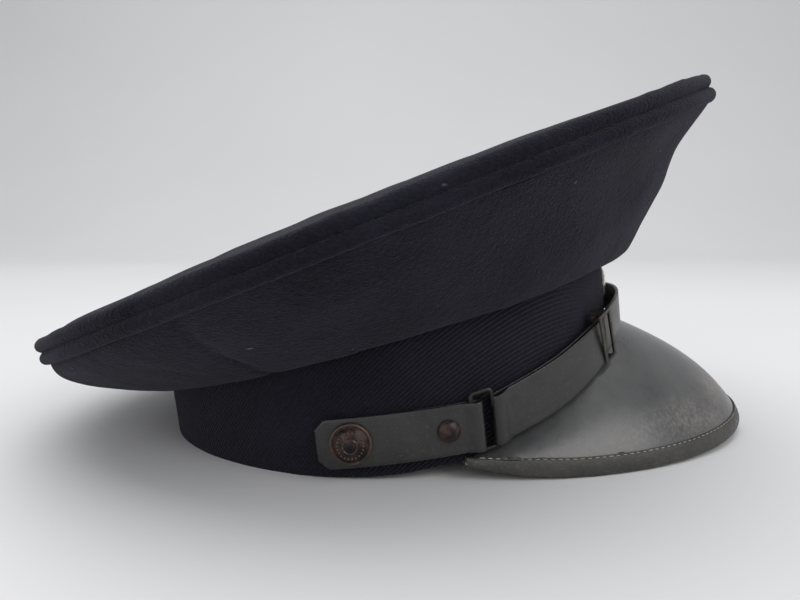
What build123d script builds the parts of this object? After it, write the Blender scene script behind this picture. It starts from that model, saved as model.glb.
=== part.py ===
from build123d import *
import math
import os

# Military peaked cap, built in millimetres with +Z up, the front towards -Y and the wearer's right at -X.
# Heights are measured from the table that the cap lies on, and "forward" distances run towards the front.

# ---- driving dimensions -------------------------------------------------------------------------
OVAL_LONG = 102.0          # half length of the headband's outer oval
OVAL_WIDE = 85.0           # half width of the headband's outer oval
OVAL_CENTRE = -3.0         # forward position of that oval at table height
LEAN_BACK = 0.11           # how far the headband moves back for each millimetre of height

BAND_CLOTH = 1.6
BAND_BOARD = 1.2
SWEATBAND_GAP = 2.2
SWEATBAND_THICK = 1.2
SWEATBAND_TALL = 36.0
REED_RADIUS = 0.8

ARCH_START = -60.0         # the lower edge is flat behind this forward position
ARCH_LENGTH = 154.0        # and reaches its full rise this much further forward
ARCH_RISE = 50.0
ARCH_POWER = 3.2
BAND_TOP_BACK = 38.0       # height of the headband's top edge at the back and at the front
BAND_TOP_FRONT = 77.0

RIM_TILT = 21.6            # degrees that the crown's rim rises towards the front
RIM_CENTRE = (-13.6, 92.3) # forward and up
RIM_LONG = 153.0
RIM_WIDE = 142.0
ROLL_RADIUS = 2.8
ROLL_SPACING = 2.9         # each roll's distance above or below the rim plane
ROLL_INSET = 1.8
TOP_THICK = 2.4
TOP_DOME = 7.0
CROWN_CLOTH = 2.2
WIRE_THICK = 1.0
WIRE_TALL = 2.4
WIRE_INSET = 8.0
SIDE_SEAM_ANGLE = 114.0    # degrees round from the front to each side seam of the crown
FAN_AXIS = -6.0            # the crown's and lining's sections fan out from this forward position

VISOR_CENTRE = 25.0        # forward centre, half length and half width of the visor's rim oval
VISOR_LONG = 130.6
VISOR_WIDE = 85.5
VISOR_AXIS = -6.0          # the visor's sections fan out from this forward position
VISOR_HALF_ANGLE = 70.0
VISOR_THICK = 1.6
VISOR_LINING = 0.8
VISOR_RIM_LOW = 2.25
VISOR_RIM_LOW_AT = 75.0
BINDING_WIDE = 4.0
BINDING_THICK = 0.75

STRAP_CENTRE = -6.0        # oval that the chin strap follows, at its inner face
STRAP_LONG = 110.7
STRAP_WIDE = 86.0
LEATHER = 1.3
LEAF_GAP = 0.3
TAB_HALF_TALL = 9.25
TAB_SLOPE = 0.118
TAB_BACK = -28.5
BUTTON_AT = (-16.3, 15.2)  # forward and up
BUTTON_RADIUS = 7.8
STUD_AT = (18.2, 19.3)
STUD_RADIUS = 4.3
RING_BARS = (28.6, 36.4)   # forward positions of the ring's two upright bars
RING_SLOPE = 14.0          # degrees
RING_WIRE = 0.95
RING_HALF_TALL = 10.9
RING_BORE = 1.45
LOOP_RADIUS = 2.3
BAR_OUTSET = 2.5           # the ring bars' distance outside the strap's inner face
SLIDE_AT = 82.0
SLIDE_HALF_TALL = 10.9
SLIDE_HALF_LONG = 4.6
SLIDE_BAR = 1.9
SLIDE_PLATE = 1.0
SLIDE_PLAY = 0.75
SHANK_RADIUS = 1.1
EYELET_RADIUS = 3.0

BADGE_AT = 64.5            # height of the badge's centre
BADGE_RADIUS = 9.6
BADGE_PROUD = 1.5

FAR = 400.0


# ---- helpers --------------------------------------------------------------------------------------
def side(points):
    """Side-view points (forward, up) as points of the YZ plane."""
    return [(-forward, up) for forward, up in points]


def oval(long_radius, wide_radius, centre, height):
    """Horizontal ellipse round the head at a height, leaning back with it."""
    middle = Vector(0, -(centre - LEAN_BACK * height), height)
    return Plane(origin=middle) * Ellipse(wide_radius, long_radius)


def oval_block(long_radius, wide_radius, centre=OVAL_CENTRE):
    """Leaning elliptical column that reaches past the headband above and below."""
    return loft([oval(long_radius, wide_radius, centre, h) for h in (-30, 130)], ruled=True)


def oval_wall(outset, thickness, long_radius=OVAL_LONG, wide_radius=OVAL_WIDE, centre=OVAL_CENTRE):
    """Leaning elliptical wall whose outer face stands outset from the given oval."""
    outer = oval_block(long_radius + outset, wide_radius + outset, centre)
    inset = outset - thickness
    return outer - oval_block(long_radius + inset, wide_radius + inset, centre)


def strap_wall(outset, thickness):
    """Leaning elliptical wall that stands outset from the chin strap's inner face."""
    return oval_wall(outset + thickness, thickness, STRAP_LONG, STRAP_WIDE, STRAP_CENTRE)


def lower_edge(forward):
    """Height of the headband's lower edge, which arches up to the visor's root."""
    reach = max(forward - ARCH_START, 0) / ARCH_LENGTH
    return ARCH_RISE * reach**ARCH_POWER


def top_edge(forward):
    """Height of the headband's top edge, a straight line in side view."""
    return BAND_TOP_BACK + (forward + 109.0) * (BAND_TOP_FRONT - BAND_TOP_BACK) / 199.0


def across(outline):
    """Side-view outline made a solid right across the cap."""
    return extrude(Plane.YZ * make_face(outline), amount=FAR / 2, both=True)


def above_lower_edge(lift, top):
    """Everything between the raised lower edge and a height."""
    stations = range(int(ARCH_START), 121, 15)
    arch = Spline(*side([(f, lower_edge(f) + lift) for f in stations]), tangents=[(-1, 0), (-1, 1.6)])
    start, end = side([(ARCH_START, lift), (120, lower_edge(120) + lift)])
    rest = Polyline(end, (-130, 130), (160, 130), (160, lift), start)
    return across(arch + rest) & Pos(0, 0, top / 2 - 50) * Box(FAR, FAR, top + 100)


def under_plane(back, front):
    """Everything below the plane through two side-view points."""
    lead, tail = side([front, back])
    return across(Polyline(lead, tail, (tail[0], -60), (lead[0], -60), close=True))


def tilted_oval(back, front, half_wide, grow=0.0):
    """Ellipse across the cap whose long axis joins two side-view points."""
    run = front[0] - back[0]
    rise = front[1] - back[1]
    length = math.hypot(run, rise)
    middle = ((front[0] + back[0]) / 2, (front[1] + back[1]) / 2)
    tilt = math.degrees(math.atan2(rise, run))
    place = Pos(0, -middle[0], middle[1]) * Rot(-tilt, 0, 0)
    return place * Ellipse(half_wide + grow, length / 2 + grow)


def rim_place(rise=0.0):
    """Location of the crown's rim plane, raised along its own normal."""
    return Pos(0, -RIM_CENTRE[0], RIM_CENTRE[1]) * Rot(-RIM_TILT, 0, 0) * Pos(0, 0, rise)


def rim_turned(profile):
    """Profile turned round the rim's normal, stretched to the rim's oval and put in place."""
    turned = revolve(Plane.XZ * profile, axis=Axis.Z)
    return rim_place() * scale(turned, by=(1, RIM_LONG / RIM_WIDE, 1))


def both_sides(shape):
    """The shape and its mirror image, as right and left."""
    return shape, mirror(shape, about=Plane.YZ)


def outward(forward, height, outset):
    """Point on the chin strap's oval on the wearer's right, and the outward direction there."""
    centre = STRAP_CENTRE - LEAN_BACK * height
    cosine = (forward - centre) / (STRAP_LONG + outset)
    sine = math.sqrt(1 - cosine**2)
    spot = Vector(-(STRAP_WIDE + outset) * sine, -forward, height)
    normal = Vector(-sine / STRAP_WIDE, -cosine / STRAP_LONG, 0).normalized()
    return spot, normal


def strap_plane(forward, height, outset, slope):
    """Plane on the strap: x forward along it, y up across it, z outward."""
    spot, normal = outward(forward, height, outset)
    level = Vector(0, 0, 1).cross(normal)
    along = level * math.cos(math.radians(slope)) + Vector(0, 0, 1) * math.sin(math.radians(slope))
    return Plane(origin=spot, x_dir=along, z_dir=normal)


nodes = {}

# ---- headband -------------------------------------------------------------------------------------
band_zone = above_lower_edge(0, 120) & under_plane((-160, top_edge(-160)), (140, top_edge(140)))
eyelet_axis = Pos(0, -BUTTON_AT[0], BUTTON_AT[1]) * Rot(0, 90, 0)
eyelet_hole = eyelet_axis * Cylinder(EYELET_RADIUS - 0.8, FAR)
badge_lean = math.degrees(math.atan(LEAN_BACK))
badge_front = -(OVAL_CENTRE - LEAN_BACK * BADGE_AT + OVAL_LONG)
badge_place = Pos(0, badge_front, BADGE_AT) * Rot(90 - badge_lean, 0, 0)
badge_hole = badge_place * Cylinder(1.3, 30)
holes = eyelet_hole + badge_hole

nodes["band_cloth"] = (oval_wall(0, BAND_CLOTH) & band_zone) - holes
nodes["band_board"] = (oval_wall(-BAND_CLOTH - 0.1, BAND_BOARD)
                       & above_lower_edge(1.0, 120)
                       & under_plane((-160, top_edge(-160) - 1), (140, top_edge(140) - 1))) - holes

sweat_out = -(BAND_CLOTH + 0.1 + BAND_BOARD + SWEATBAND_GAP)
sweat_shape = oval_wall(sweat_out, SWEATBAND_THICK)
sweat_top = under_plane((-160, top_edge(-160) - 3), (140, top_edge(140) - 3))
nodes["sweatband"] = (sweat_shape & above_lower_edge(2.4, 120) & sweat_top) - above_lower_edge(SWEATBAND_TALL, 120)
reed_wall = oval_wall(sweat_out + 0.5, 2 * REED_RADIUS)
nodes["sweatband_reed"] = (reed_wall & above_lower_edge(0.6, 120)) - above_lower_edge(2.3, 120)

bow_forward = OVAL_CENTRE - LEAN_BACK * 30 - OVAL_LONG - sweat_out + SWEATBAND_THICK + 1.7
bow_place = Pos(0, -bow_forward, 30) * Rot(-badge_lean, 0, 0)
bow_wing = Pos(5.2, 0, 0) * Rot(0, 12, 0) * Box(8, 1.4, 5)
bow = Box(3, 2, 3.4) + bow_wing + mirror(bow_wing, about=Plane.YZ)
nodes["sweatband_bow"] = bow_place * bow

for name, mirrored in (("right", False), ("left", True)):
    eyelet = Cylinder(EYELET_RADIUS, 0.5) + Pos(0, 0, -1.6) * Cylinder(EYELET_RADIUS - 0.9, 2.9)
    eyelet -= Cylinder(EYELET_RADIUS - 1.5, 20)
    spot = Pos(-OVAL_WIDE - 0.02, -BUTTON_AT[0], BUTTON_AT[1]) * Rot(0, -90, 0)
    placed = spot * eyelet
    nodes[f"band_eyelet_{name}"] = mirror(placed, about=Plane.YZ) if mirrored else placed

# ---- crown ----------------------------------------------------------------------------------------
rim_lean = math.radians(RIM_TILT)


def rim_ends(inset, rise):
    """Back and front points of the rim oval, inset and raised along its normal, in side view."""
    along = (math.cos(rim_lean), math.sin(rim_lean))
    centre = (RIM_CENTRE[0] - rise * along[1], RIM_CENTRE[1] + rise * along[0])
    reach = RIM_LONG - inset
    back = (centre[0] - reach * along[0], centre[1] - reach * along[1])
    front = (centre[0] + reach * along[0], centre[1] + reach * along[1])
    return back, front


# Each row is a ring of the crown's side: back point, front point and half width, from the seam on
# the headband, down over the droop behind it, and out and up to the rim.
side_top = rim_ends(2.0, -7.6)
CROWN_RINGS = [
    ((-110.4, 38.5), (92.4, 77.5), 86.2),
    ((-110.0, 13.8), (101.5, 82.0), 88.6),
    ((-130.0, 13.6), (108.5, 103.0), 108.0),
    ((-145.0, 20.0), (117.0, 124.0), 126.0),
    (side_top[0], side_top[1], RIM_WIDE - 2.0),
]


def ray_reach(start, centre, long_radius, wide_radius, angle):
    """Distance along a level ray, at an angle from the front, from the head's axis to an oval."""
    c, s = math.cos(angle), math.sin(angle)
    offset = start - centre
    a = (c / long_radius)**2 + (s / wide_radius)**2
    b = 2 * c * offset / long_radius**2
    k = (offset / long_radius)**2 - 1
    return (-b + math.sqrt(b * b - 4 * a * k)) / (2 * a)


def ring_point(ring, angle):
    """Where a tilted ring meets the upright plane at an angle from the front, as (outward, up)."""
    back, front, half_wide = ring
    half_long = (front[0] - back[0]) / 2
    reach = ray_reach(FAN_AXIS, (front[0] + back[0]) / 2, half_long, half_wide, angle)
    slope = (front[1] - back[1]) / (front[0] - back[0])
    return reach, back[1] + (FAN_AXIS + reach * math.cos(angle) - back[0]) * slope


def fan_plane(start, angle):
    """Upright plane that holds a fanned section, x outward and y up."""
    outward_dir = Vector(-math.sin(angle), -math.cos(angle), 0)
    return Plane(origin=(0, -start, 0), x_dir=outward_dir, z_dir=outward_dir.cross(Vector(0, 0, 1)))


def inner_line(points, thickness):
    """The open line moved sideways, to the left of its direction, with mitred corners."""
    normals = []
    for (x0, y0), (x1, y1) in zip(points, points[1:]):
        length = math.hypot(x1 - x0, y1 - y0)
        normals.append(((y0 - y1) / length, (x1 - x0) / length))
    moved = []
    for (x, y), before, after in zip(points, normals[:1] + normals, normals + normals[-1:]):
        shared = 1 + before[0] * after[0] + before[1] * after[1]
        step = thickness / shared
        moved.append((x + (before[0] + after[0]) * step, y + (before[1] + after[1]) * step))
    return moved


def fan_shell(rings, thickness, start, end, count):
    """Shell through a stack of rings, thickened inwards, from one angle to another."""
    sections = []
    for step in range(count + 1):
        angle = math.radians(start + (end - start) * step / count)
        points = [ring_point(ring, angle) for ring in rings]
        outline = Polyline(*points, *inner_line(points, thickness)[::-1], close=True)
        sections.append(fan_plane(FAN_AXIS, angle) * make_face(outline))
    return loft(sections, ruled=True)


front_quarter = fan_shell(CROWN_RINGS, CROWN_CLOTH, 0.05, SIDE_SEAM_ANGLE, 12)
rear_quarter = fan_shell(CROWN_RINGS, CROWN_CLOTH, SIDE_SEAM_ANGLE + 0.08, 179.95, 8)
nodes["crown_front_right"], nodes["crown_front_left"] = both_sides(front_quarter)
nodes["crown_rear_right"], nodes["crown_rear_left"] = both_sides(rear_quarter)

roll_radius_at = RIM_WIDE - ROLL_INSET
wire_at = RIM_WIDE - WIRE_INSET
roll_section = Pos(roll_radius_at, ROLL_SPACING) * Circle(ROLL_RADIUS)
welt_section = Pos(roll_radius_at, -ROLL_SPACING) * Circle(ROLL_RADIUS)
wire_section = Pos(wire_at, -1.5) * Rectangle(WIRE_THICK, WIRE_TALL)
nodes["crown_edge_roll"] = rim_turned(roll_section)
nodes["crown_welt"] = rim_turned(welt_section)
nodes["crown_wire"] = rim_turned(wire_section)

top_edge_at = roll_radius_at - ROLL_RADIUS - 0.15
top_low = 1.6
dome_over = ThreePointArc((top_edge_at, top_low + TOP_THICK),
                          (top_edge_at / 2, top_low + TOP_THICK + 0.75 * TOP_DOME),
                          (0, top_low + TOP_THICK + TOP_DOME))
dome_under = ThreePointArc((top_edge_at, top_low),
                           (top_edge_at / 2, top_low + 0.75 * TOP_DOME),
                           (0, top_low + TOP_DOME))
dome_wall = Line((top_edge_at, top_low), (top_edge_at, top_low + TOP_THICK))
dome_axis = Line((0, top_low + TOP_DOME), (0, top_low + TOP_THICK + TOP_DOME))
nodes["crown_top"] = rim_turned(make_face(dome_over + dome_wall + dome_under + dome_axis))

ferrule = Box(12, WIRE_THICK + 1.4, WIRE_TALL + 1.4) - Box(12, WIRE_THICK + 0.1, WIRE_TALL + 0.1)
ferrule_back = Pos(0, (wire_at * RIM_LONG / RIM_WIDE), -1.5)
nodes["wire_ferrule"] = (rim_place() * ferrule_back * ferrule) - nodes["crown_wire"]

STAY_LINE = [(89.5, 80.5), (102.0, 104.0), (114.5, 133.0)]
STAY_THICK = 1.4
STAY_HALF_WIDE = 8.0
stay_back = [(forward - STAY_THICK, up + 0.3) for forward, up in STAY_LINE]
stay_outline = Polyline(*side(STAY_LINE + stay_back[::-1]), close=True)
nodes["front_stay"] = extrude(Plane.YZ * make_face(stay_outline), amount=STAY_HALF_WIDE, both=True)

LINING_THICK = 0.9
LINING_RINGS = [((-103.4, 40.3), (84.0, 78.4), 79.6), ((-110.0, 42.4), (90.0, 104.0), 98.0),
                ((-112.5, 45.4), (90.0, 122.0), 102.0)]
half_lining = fan_shell(LINING_RINGS, LINING_THICK, 0, 180, 16)
nodes["lining_side"] = half_lining + mirror(half_lining, about=Plane.YZ)
nodes["lining_top"] = extrude(tilted_oval(*LINING_RINGS[-1], -2.4).face(), amount=-LINING_THICK)

# ---- visor ----------------------------------------------------------------------------------------
def rim_height(forward):
    """Height of the visor's rim, lowest beside the head and rising to the tip and the corners."""
    ahead = max(forward - VISOR_RIM_LOW_AT, 0) / 83
    behind = max(VISOR_RIM_LOW_AT - forward, 0) / 50
    return VISOR_RIM_LOW + 4.5 * ahead**2 + 5.0 * behind**2


def visor_line(angle):
    """Root, bend and rim of the visor's top face along one ray, as (outward, up)."""
    height = 20.0
    for _ in range(12):
        middle = OVAL_CENTRE - LEAN_BACK * height
        root = ray_reach(VISOR_AXIS, middle, OVAL_LONG + 0.35, OVAL_WIDE + 0.35, angle)
        height = lower_edge(VISOR_AXIS + root * math.cos(angle)) 
    rim = ray_reach(VISOR_AXIS, VISOR_CENTRE, VISOR_LONG, VISOR_WIDE, angle)
    low = rim_height(VISOR_AXIS + rim * math.cos(angle)) + VISOR_THICK / 2 + VISOR_LINING / 2
    bend = (root + 0.75 * (rim - root), height - 0.4 * (height - low))
    return (root, height), bend, (rim, low)


def visor_layer(drop, thickness, angle):
    """One section of a leather layer that hangs drop below the visor's top face."""
    root, bend, rim = visor_line(angle)
    top = [(r, z - drop) for r, z in (root, bend, rim)]
    low = [(r, z - drop - thickness) for r, z in (root, bend, rim)]
    outline = Bezier(*top) + Line(top[2], low[2]) + Bezier(*low[::-1]) + Line(low[0], top[0])
    return fan_plane(VISOR_AXIS, angle) * make_face(outline)


def binding_section(angle):
    """One section of the leather strip folded round the visor's rim."""
    root, bend, rim = visor_line(angle)
    run = Vector(rim[0] - bend[0], rim[1] - bend[1]).normalized()
    layers = VISOR_THICK + VISOR_LINING + 0.05
    reach = BINDING_WIDE * min(1.0, (rim[0] - root[0]) / 12.0)
    over, under = BINDING_THICK, layers + BINDING_THICK
    corners = [(-reach, over + 0.25), (0.5, over + 0.15), (0.95, -0.3), (0.9, 0.4 - layers), (0.3, -under),
               (-reach, -under - 0.7), (-reach, -layers - 0.75), (0.3, -layers - 0.2), (0.3, 0.2), (-reach, 0.3)]
    points = [Vector(*rim) + run * a + Vector(0, b) for a, b in corners]
    return fan_plane(VISOR_AXIS, angle) * make_face(Polyline(*[(p.X, p.Y) for p in points], close=True))


VISOR_STATIONS = 29
turns = [math.radians(VISOR_HALF_ANGLE * (2 * k / (VISOR_STATIONS - 1) - 1)) for k in range(VISOR_STATIONS)]
nodes["visor"] = loft([visor_layer(0, VISOR_THICK, a) for a in turns], ruled=True)
nodes["visor_lining"] = loft([visor_layer(VISOR_THICK + 0.05, VISOR_LINING, a) for a in turns], ruled=True)
nodes["visor_binding"] = loft([binding_section(a) for a in turns], ruled=True)

# ---- chin strap -----------------------------------------------------------------------------------
def tab_middle(forward):
    """Height of the tab's centre line."""
    return BUTTON_AT[1] + (forward - BUTTON_AT[0]) * TAB_SLOPE


def tab_zone(start, end, shrink=0.0):
    """Side-view strip of the tab between two forward positions, with cut corners at the back."""
    tall = TAB_HALF_TALL - shrink
    cut = 3.5
    points = [(start, tab_middle(start) - tall + cut), (start + cut, tab_middle(start + cut) - tall),
              (end, tab_middle(end) - tall), (end, tab_middle(end) + tall),
              (start + cut, tab_middle(start + cut) + tall), (start, tab_middle(start) + tall - cut)]
    return across(Polyline(*side(points), close=True))


LOWER_LINE = [(36.4, 13.4), (60.0, 23.4), (74.0, 32.0), (88.0, 43.2), (104.5, 54.8)]
UPPER_LINE = [(104.5, 65.8), (88.0, 58.8), (74.0, 51.0), (60.0, 42.8), (36.4, 32.0)]


def strap_zone(end):
    """Side-view strip of the long strap from the ring to a forward position."""
    lower = Spline(*side(LOWER_LINE))
    upper = Spline(*side(UPPER_LINE))
    nose = Line(*side([LOWER_LINE[-1], UPPER_LINE[0]]))
    tail = Line(*side([UPPER_LINE[-1], LOWER_LINE[0]]))
    reach = Pos(0, -(end - FAR / 2), 0) * Box(FAR, FAR, FAR)
    return across(lower + nose + upper + tail) & reach


right_half = Pos(-FAR / 2, 0, 0) * Box(FAR, FAR, FAR)
inner_leaf = strap_wall(0, LEATHER)
outer_leaf = strap_wall(LEATHER + LEAF_GAP, LEATHER)
leaf_middle = LEATHER + LEAF_GAP / 2

bar_heights = [tab_middle(f) + 1.6 for f in RING_BARS]
ring_spots = [outward(f, h, BAR_OUTSET) for f, h in zip(RING_BARS, bar_heights)]
ring_middle = (ring_spots[0][0] + ring_spots[1][0]) * 0.5
ring_out = (ring_spots[0][1] + ring_spots[1][1]).normalized()
ring_level = Vector(0, 0, 1).cross(ring_out)
ring_turn = math.radians(RING_SLOPE)
ring_along = ring_level * math.cos(ring_turn) + Vector(0, 0, 1) * math.sin(ring_turn)
ring_plane = Plane(origin=ring_middle, x_dir=ring_along, z_dir=ring_out)
ring_reach = (RING_BARS[1] - RING_BARS[0]) / 2 / math.cos(ring_turn)


def ring_cylinder(at, radius, half_tall):
    """Cylinder along one of the ring's upright bars."""
    return ring_plane.location * Pos(at, 0, 0) * Rot(90, 0, 0) * Cylinder(radius, 2 * half_tall)


ring_path = ring_plane * RectangleRounded(2 * ring_reach, 2 * RING_HALF_TALL, 1.6)
ring_start = ring_plane.location * Pos(ring_reach, 0, 0) * Rot(90, 0, 0)
ring_wire = sweep(ring_start * Circle(RING_WIRE), path=ring_path.wire(), transition=Transition.RIGHT)

tab_tall = TAB_HALF_TALL - 0.4
button_place = Pos(0, -BUTTON_AT[0], BUTTON_AT[1]) * Rot(0, -90, 0)
button_hole = Pos(-FAR / 4, 0, 0) * button_place * Cylinder(SHANK_RADIUS + 0.35, FAR / 2)
stud_plane = strap_plane(*STUD_AT, 2 * LEATHER + LEAF_GAP, 0)
stud_hole = stud_plane.location * Cylinder(1.15, 30)

tab_leaf = outer_leaf & tab_zone(TAB_BACK, RING_BARS[0] - 1.6) & right_half
tab_return = inner_leaf & tab_zone(6.0, RING_BARS[0] - 1.6) & right_half
tab_loop = ring_cylinder(-ring_reach, LOOP_RADIUS, tab_tall)
tab = tab_leaf + tab_return + tab_loop - ring_cylinder(-ring_reach, RING_BORE, 20) - button_hole - stud_hole
nodes["strap_tab_right"], nodes["strap_tab_left"] = both_sides(tab)

stud_round = STUD_RADIUS * 1.6
STUD_TALL = 2.6
stud_cap = Pos(0, 0, STUD_TALL - stud_round) * Sphere(stud_round) & Pos(0, 0, 5.1) * Cylinder(STUD_RADIUS, 10)
stud_pin = Pos(0, 0, -1.3) * Cylinder(1.05, 3.4)
stud = stud_plane.location * (stud_cap + stud_pin)
nodes["tab_stud_right"], nodes["tab_stud_left"] = both_sides(stud)
nodes["strap_ring_right"], nodes["strap_ring_left"] = both_sides(ring_wire)

front_loop = ring_cylinder(ring_reach, LOOP_RADIUS, tab_tall)
loop_bore = ring_cylinder(ring_reach, RING_BORE, 20)
past_ring = Pos(0, -(RING_BARS[1] + 2.0 + FAR / 2), 0) * Box(FAR, FAR, FAR)
leaf = outer_leaf & strap_zone(SLIDE_AT) & past_ring & right_half
leaf -= ring_cylinder(ring_reach, LOOP_RADIUS, RING_HALF_TALL + 3)
nodes["strap_leaf_right"], nodes["strap_leaf_left"] = both_sides(leaf)
front_strap = (inner_leaf & strap_zone(130) & past_ring)
for loop, bore in zip(both_sides(front_loop), both_sides(loop_bore)):
    front_strap = front_strap + loop - bore
nodes["front_strap"] = front_strap

# ---- strap slides ---------------------------------------------------------------------------------
slide_middle_height = 47.8
slide_slope = 22.0
slide_plane = strap_plane(SLIDE_AT, slide_middle_height, leaf_middle, slide_slope)
slide_front = LEATHER + LEAF_GAP / 2 + SLIDE_PLAY
slide_frame = extrude(Rectangle(2 * SLIDE_HALF_LONG, 2 * SLIDE_HALF_TALL)
                      - Rectangle(2 * (SLIDE_HALF_LONG - SLIDE_BAR), 2 * (SLIDE_HALF_TALL - 1.5)), amount=SLIDE_PLATE)
slide_ends = Rectangle(3.4, 2 * SLIDE_HALF_TALL) - Rectangle(3.4, 2 * (SLIDE_HALF_TALL - 1.5))
slide_wrap = extrude(slide_ends, amount=-(2 * slide_front + 0.8))
slide_back = extrude(Rectangle(3.4, 2 * SLIDE_HALF_TALL), amount=-0.8)
slide = Pos(0, 0, slide_front) * (slide_frame + slide_wrap) + Pos(0, 0, -slide_front) * slide_back
nodes["strap_slide_right"], nodes["strap_slide_left"] = both_sides(slide_plane.location * slide)

# ---- side buttons ---------------------------------------------------------------------------------
button_base = outward(*BUTTON_AT, 2 * LEATHER + LEAF_GAP)[0].X
dome_radius = BUTTON_RADIUS * 1.35
dome = Sphere(dome_radius) & Pos(0, 0, dome_radius) * Cylinder(BUTTON_RADIUS, 2 * 3.2)
dome = Pos(0, 0, 3.2 + 1.4 - dome_radius) * dome
button = dome + Pos(0, 0, 0.9) * Cylinder(BUTTON_RADIUS, 1.2) + Pos(0, 0, -4.2) * Cylinder(SHANK_RADIUS, 9.6)
button -= Pos(0, 0, -8.2) * Rot(90, 0, 0) * Cylinder(0.65, 10)
button = Pos(button_base, 0, 0) * Pos(0, -BUTTON_AT[0], BUTTON_AT[1]) * Rot(0, -90, 0) * button
nodes["side_button_right"], nodes["side_button_left"] = both_sides(button)
cotter = Pos(0, 0, -8.2) * Rot(90, 0, 0) * Cylinder(0.55, 7)
cotter = Pos(button_base, 0, 0) * Pos(0, -BUTTON_AT[0], BUTTON_AT[1]) * Rot(0, -90, 0) * cotter
nodes["button_cotter_right"], nodes["button_cotter_left"] = both_sides(cotter)

# ---- badge ----------------------------------------------------------------------------------------
badge_disc = Pos(0, 0, BADGE_PROUD / 2 + 0.1) * Cylinder(BADGE_RADIUS, BADGE_PROUD)
badge_boss = Pos(0, 0, BADGE_PROUD + 0.1) * Cylinder(BADGE_RADIUS * 0.55, 1.2)
badge_post = Pos(0, 0, -2.0) * Cylinder(1.2, 5)
nodes["cap_badge"] = badge_place * (badge_disc + badge_boss + badge_post)
keeper = Pos(0, 0, -4.0) * (Cylinder(3.2, 0.8) - Cylinder(1.25, 2))
nodes["badge_keeper"] = badge_place * keeper

# ---- place on the origin and write ----------------------------------------------------------------
whole = Compound(children=[Part(list(shape.solids())) for shape in nodes.values()])
box = whole.bounding_box()
to_origin = (0.0, -(box.min.Y + box.max.Y) / 2, -box.min.Z)

if __name__ == "__main__":
    os.makedirs("parts", exist_ok=True)
    for name, shape in nodes.items():
        export_step(Pos(*to_origin) * Part(list(shape.solids())), f"parts/{name}.step")
    print("size", box.size, "shift", to_origin)
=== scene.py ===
import math
import random

import bpy
from mathutils import Euler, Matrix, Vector


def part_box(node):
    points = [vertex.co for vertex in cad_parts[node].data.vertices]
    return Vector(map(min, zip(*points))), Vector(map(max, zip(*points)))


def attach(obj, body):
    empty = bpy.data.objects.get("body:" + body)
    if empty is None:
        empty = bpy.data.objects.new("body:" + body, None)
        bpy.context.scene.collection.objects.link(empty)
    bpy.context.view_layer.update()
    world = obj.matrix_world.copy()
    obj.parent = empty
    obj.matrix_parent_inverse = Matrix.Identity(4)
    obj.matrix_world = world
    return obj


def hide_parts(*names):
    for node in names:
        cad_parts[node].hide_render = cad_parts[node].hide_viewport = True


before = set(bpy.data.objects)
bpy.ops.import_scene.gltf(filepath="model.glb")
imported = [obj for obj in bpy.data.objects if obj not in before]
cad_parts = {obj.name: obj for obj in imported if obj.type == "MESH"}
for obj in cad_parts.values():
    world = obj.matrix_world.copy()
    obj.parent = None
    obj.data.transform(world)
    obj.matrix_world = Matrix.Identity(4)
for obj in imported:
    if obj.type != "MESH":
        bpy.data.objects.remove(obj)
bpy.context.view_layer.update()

bl_info = {
    "name": "Peaked Cap",
    "version": (1, 0, 0),
    "blender": (4, 5, 0),
    "location": "View3D > Sidebar > Peaked Cap",
    "description": "Builds the cloth, leather and metal of a peaked cap around its working frame",
    "category": "Add Mesh",
}

MM = 0.001

# ---- the cap's driving dimensions, in millimetres: forward runs to the front, heights start at the table
OVAL_LONG = 102.0
OVAL_WIDE = 85.0
OVAL_CENTRE = -3.0
LEAN_BACK = 0.11
ARCH_START = -60.0
ARCH_LENGTH = 154.0
ARCH_RISE = 50.0
ARCH_POWER = 3.2
BAND_THICK = 1.6
RIM_TILT = math.radians(21.6)
RIM_CENTRE = (-13.6, 92.3)
RIM_LONG = 153.0
RIM_WIDE = 142.0
VISOR_AXIS = -6.0
VISOR_OVAL = (25.0, 130.6, 85.5)
VISOR_HALF_ANGLE = 70.0
VISOR_RIM_LOW = 2.25
STRAP_OVAL = (-6.0, 110.7, 86.0)
LEATHER = 1.3
BUTTON_AT = (-16.3, 15.2)
STUD_AT = (18.2, 19.3)
RING_BARS = (28.6, 36.4)
TAB_BACK = -28.5
TAB_HALF_TALL = 9.25
TAB_SLOPE = 0.118
SLIDE_AT = 82.0
BUTTON_PROUD = 4.6
BADGE_UP = 64.5
SEAM_AXIS = -6.0
SEAM_HALF_ANGLE = 0.55
SEAM_DEPTH = 1.1
STITCH_OFF_RIM = 3.0
LOWER_LINE = [(36.4, 13.4), (60.0, 23.4), (74.0, 32.0), (88.0, 43.2), (104.5, 54.8)]
UPPER_LINE = [(36.4, 32.0), (60.0, 42.8), (74.0, 51.0), (88.0, 58.8), (104.5, 65.8)]

button_low, button_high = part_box("side_button_right")
SHIFT = Vector((0, (button_low.y + button_high.y) / 2 + BUTTON_AT[0] * MM,
                (button_low.z + button_high.z) / 2 - BUTTON_AT[1] * MM))


def at(across, forward, up):
    """Point of the row frame, in metres, from the cap's own millimetres."""
    return Vector((across, -forward, up)) * MM + SHIFT


def smooth(x):
    """Eased step from 0 to 1."""
    x = min(max(x, 0.0), 1.0)
    return x * x * (3 - 2 * x)


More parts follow.
